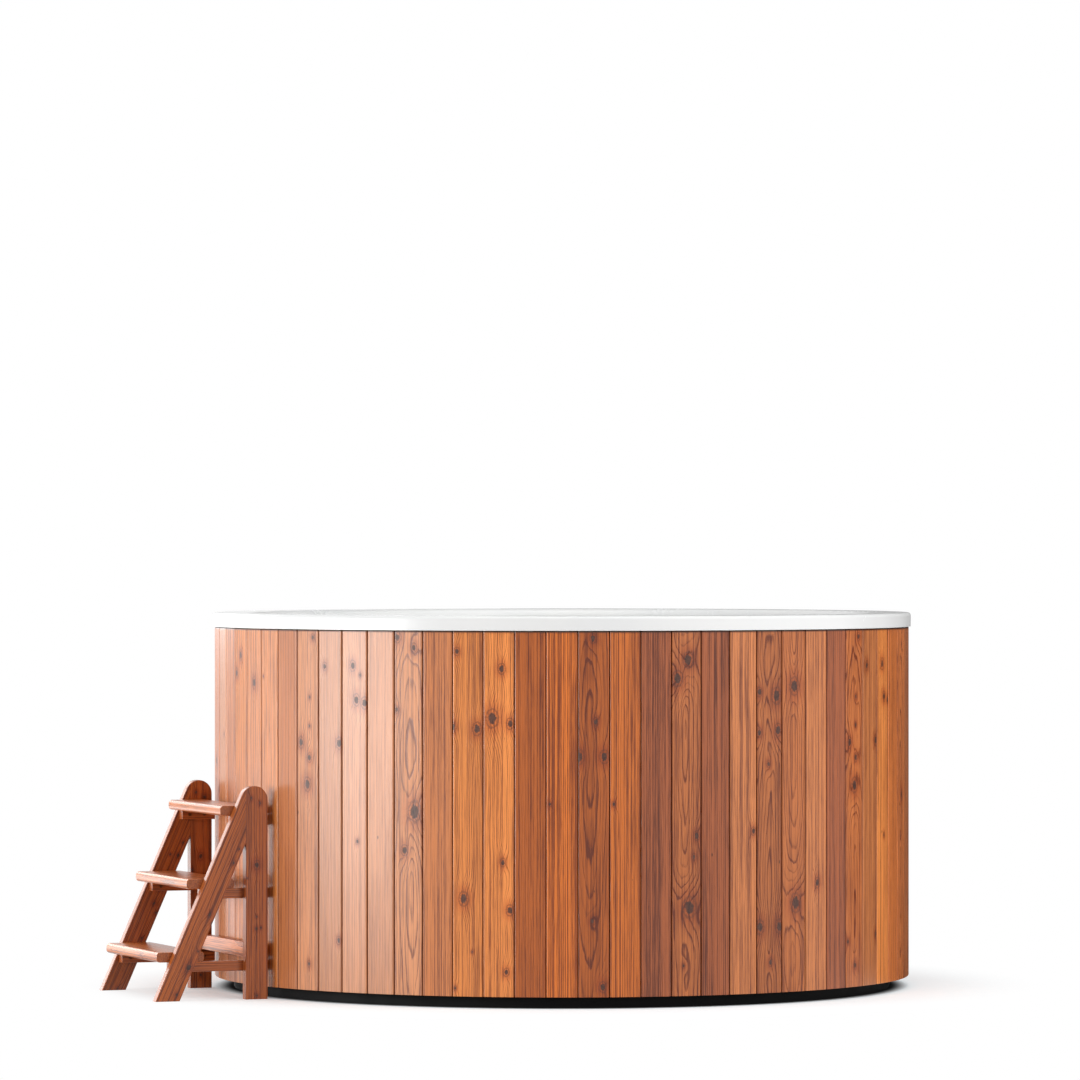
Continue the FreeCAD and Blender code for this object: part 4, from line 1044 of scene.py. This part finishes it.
def seen_directly(wires):
    """1 for what the camera sees, straight, mirrored or through something clear; 0 for soft bounces."""
    path = wires.node("ShaderNodeLightPath").outputs
    seen = wires.math("MAXIMUM", path["Is Camera Ray"], path["Is Glossy Ray"])
    return wires.math("MAXIMUM", seen, path["Is Transmission Ray"])


floor_mesh = bpy.data.meshes.new("studio_floor")
floor_corners = [(x * FLOOR_HALF, y * FLOOR_HALF, 0) for x, y in ((-1, -1), (1, -1), (1, 1), (-1, 1))]
floor_mesh.from_pydata(floor_corners, [], [(0, 1, 2, 3)])
floor = new_object("studio_floor", floor_mesh)
floor_material = bpy.data.materials.new("studio_sweep")
floor_material.use_nodes = True
floor_material.node_tree.nodes.clear()
wires = Wiring(floor_material.node_tree)
matt = wires.shader("BsdfDiffuse", {"Color": tint(192, 192, 192)})
shaded = wires.shader("BsdfDiffuse", {"Color": tint(237, 244, 247)})
# Painted shadow: a dark floor under the overhang of the boards.
painted_shadow_floor = wires.shader("BsdfDiffuse", {"Color": tint(60, 60, 60)})
glow = wires.shader("Emission", {"Color": WHITE, "Strength": FLOOR_GLOW})
far_floor = wires.shader("Emission", {"Color": WHITE, "Strength": 1.0})
near_floor = wires.shader("AddShader", {0: shaded, 1: glow})
from_middle = wires.length(wires.node("ShaderNodeNewGeometry").outputs["Position"])
# Mask of the painted shadow under the overhang.
overhang_shadow_mask = wires.ease(from_middle, OVERHANG_EDGE, TRAY_EDGE)
near_floor = wires.shader("MixShader", {0: overhang_shadow_mask, 1: near_floor, 2: painted_shadow_floor})
far_off = wires.ease(from_middle, FLOOR_NEAR, FLOOR_FAR)
white = wires.shader("MixShader", {0: far_off, 1: near_floor, 2: far_floor})
both = wires.shader("MixShader", {0: seen_directly(wires), 1: matt, 2: white})
wires.node("ShaderNodeOutputMaterial", {"Surface": both})
floor_mesh.materials.append(floor_material)

world = bpy.data.worlds.new("studio_world")
bpy.context.scene.world = world
world.use_nodes = True
world.node_tree.nodes.clear()
wires = Wiring(world.node_tree)
soft = wires.shader("Background", {"Color": WHITE, "Strength": WORLD_LIGHT})
plain = wires.shader("Background", {"Color": WHITE, "Strength": 1.0})
both = wires.shader("MixShader", {0: seen_directly(wires), 1: soft, 2: plain})
wires.node("ShaderNodeOutputWorld", {"Surface": both})
print("floor and world made")

# %% [markdown]
# The lamps are large and soft. A wide softbox at the left makes the satin sheen on the boards there, two more
# light the left side and the far left edge, a small strip is mirrored in the tread noses, one hangs overhead,
# and a broad fill from the right is kept out of reflections so that it doesn't whiten the boards.

# %% Lamps
TUB_MIDDLE = Vector((0, 0, 0.55))
TREAD_MIDDLE = Vector((-1.14, -0.44, 0.3))


def softbox(name, bearing, elevation, distance, width, height, power, mirrored=True, aim=TUB_MIDDLE):
    """A rectangular lamp at a bearing from its aim, counted from the viewer's side, turned to face it."""
    turn = math.radians(bearing)
    rise = math.radians(elevation)
    toward = Vector((math.sin(turn) * math.cos(rise), -math.cos(turn) * math.cos(rise), math.sin(rise)))
    place = aim + distance * toward
    lamp = bpy.data.lights.new(name, "AREA")
    lamp.shape = "RECTANGLE"
    lamp.size = width
    lamp.size_y = height
    lamp.energy = power
    holder = new_object(name, lamp)
    holder.location = place
    holder.rotation_euler = (aim - place).to_track_quat("-Z", "Y").to_euler()
    holder.visible_camera = False
    holder.visible_glossy = mirrored


# Name, bearing, elevation, distance, width, height and power
softbox("key_left", -65, 3.3, 6.0, 3.4, 1.8, 205)
softbox("side_left", -106, 3.3, 6.0, 2.2, 1.8, 34)
softbox("edge_back_left", -141, 17, 6.0, 2.6, 2.8, 72)
softbox("tread_strip", -138, -3.4, 1.7, 1.2, 0.4, 3.2, aim=TREAD_MIDDLE)
softbox("overhead", 10, 82, 5.5, 4.5, 4.5, 85)
softbox("fill_right", 50, 25, 7.0, 8.0, 6.0, 400, mirrored=False)
print("lamps set")

# %% [markdown]
# In a white studio a round satin wall turns milky near its edge, where it mirrors the room. Photographers
# stand a dark cloth, called a flag, where that mirror image comes from. This one rises behind the right side
# and runs along the floor towards the tub. Only reflections see it.

# %% Flag
FLAG_FOOT = 0.01
FLAG_TOP = 6.0
flag_front = (3.2, 0.2)
flag_back = (-0.2, 5.5)
flag_corners = [
    (*flag_front, FLAG_FOOT), (*flag_front, FLAG_TOP), (*flag_back, FLAG_TOP), (*flag_back, FLAG_FOOT),
    (1.04, -0.3, FLAG_FOOT), (-0.2, 1.1, FLAG_FOOT),
]
flag_mesh = bpy.data.meshes.new("black_flag")
flag_mesh.from_pydata(flag_corners, [], [(0, 1, 2, 3), (0, 3, 5, 4)])
flag_material, wires, shader = new_material("flag_cloth")
wires.feed(shader["Base Color"], tint(66, 66, 66))
flag_mesh.materials.append(flag_material)
flag = new_object("black_flag", flag_mesh)
for sight in ("camera", "diffuse", "transmission", "shadow"):
    setattr(flag, f"visible_{sight}", False)
print("flag faces:", len(flag_mesh.polygons))

# %% [markdown]
# ## Camera
#
# The view is level, from far off with a long lens and from a little above the rim, so upright edges stay
# upright and the ring's top shows only as a thin lens of the far wall.

# %% Camera
CAMERA_PLACE = (-0.0625, -18.7, 1.282)
CAMERA_LENS = 216.0
CAMERA_REACH = 200.0
camera = bpy.data.cameras.new("photo_view")
camera.lens = CAMERA_LENS
camera.clip_end = CAMERA_REACH
viewer = new_object("photo_view", camera)
viewer.location = CAMERA_PLACE
viewer.rotation_euler = (math.radians(90), 0, 0)
bpy.context.scene.camera = viewer
bpy.context.scene.view_settings.view_transform = "Standard"
print("camera at", CAMERA_PLACE)

# %% [markdown]
# ## Size
#
# Looks must not change the size of a thing.

# %% Finish
print("scene dressed")
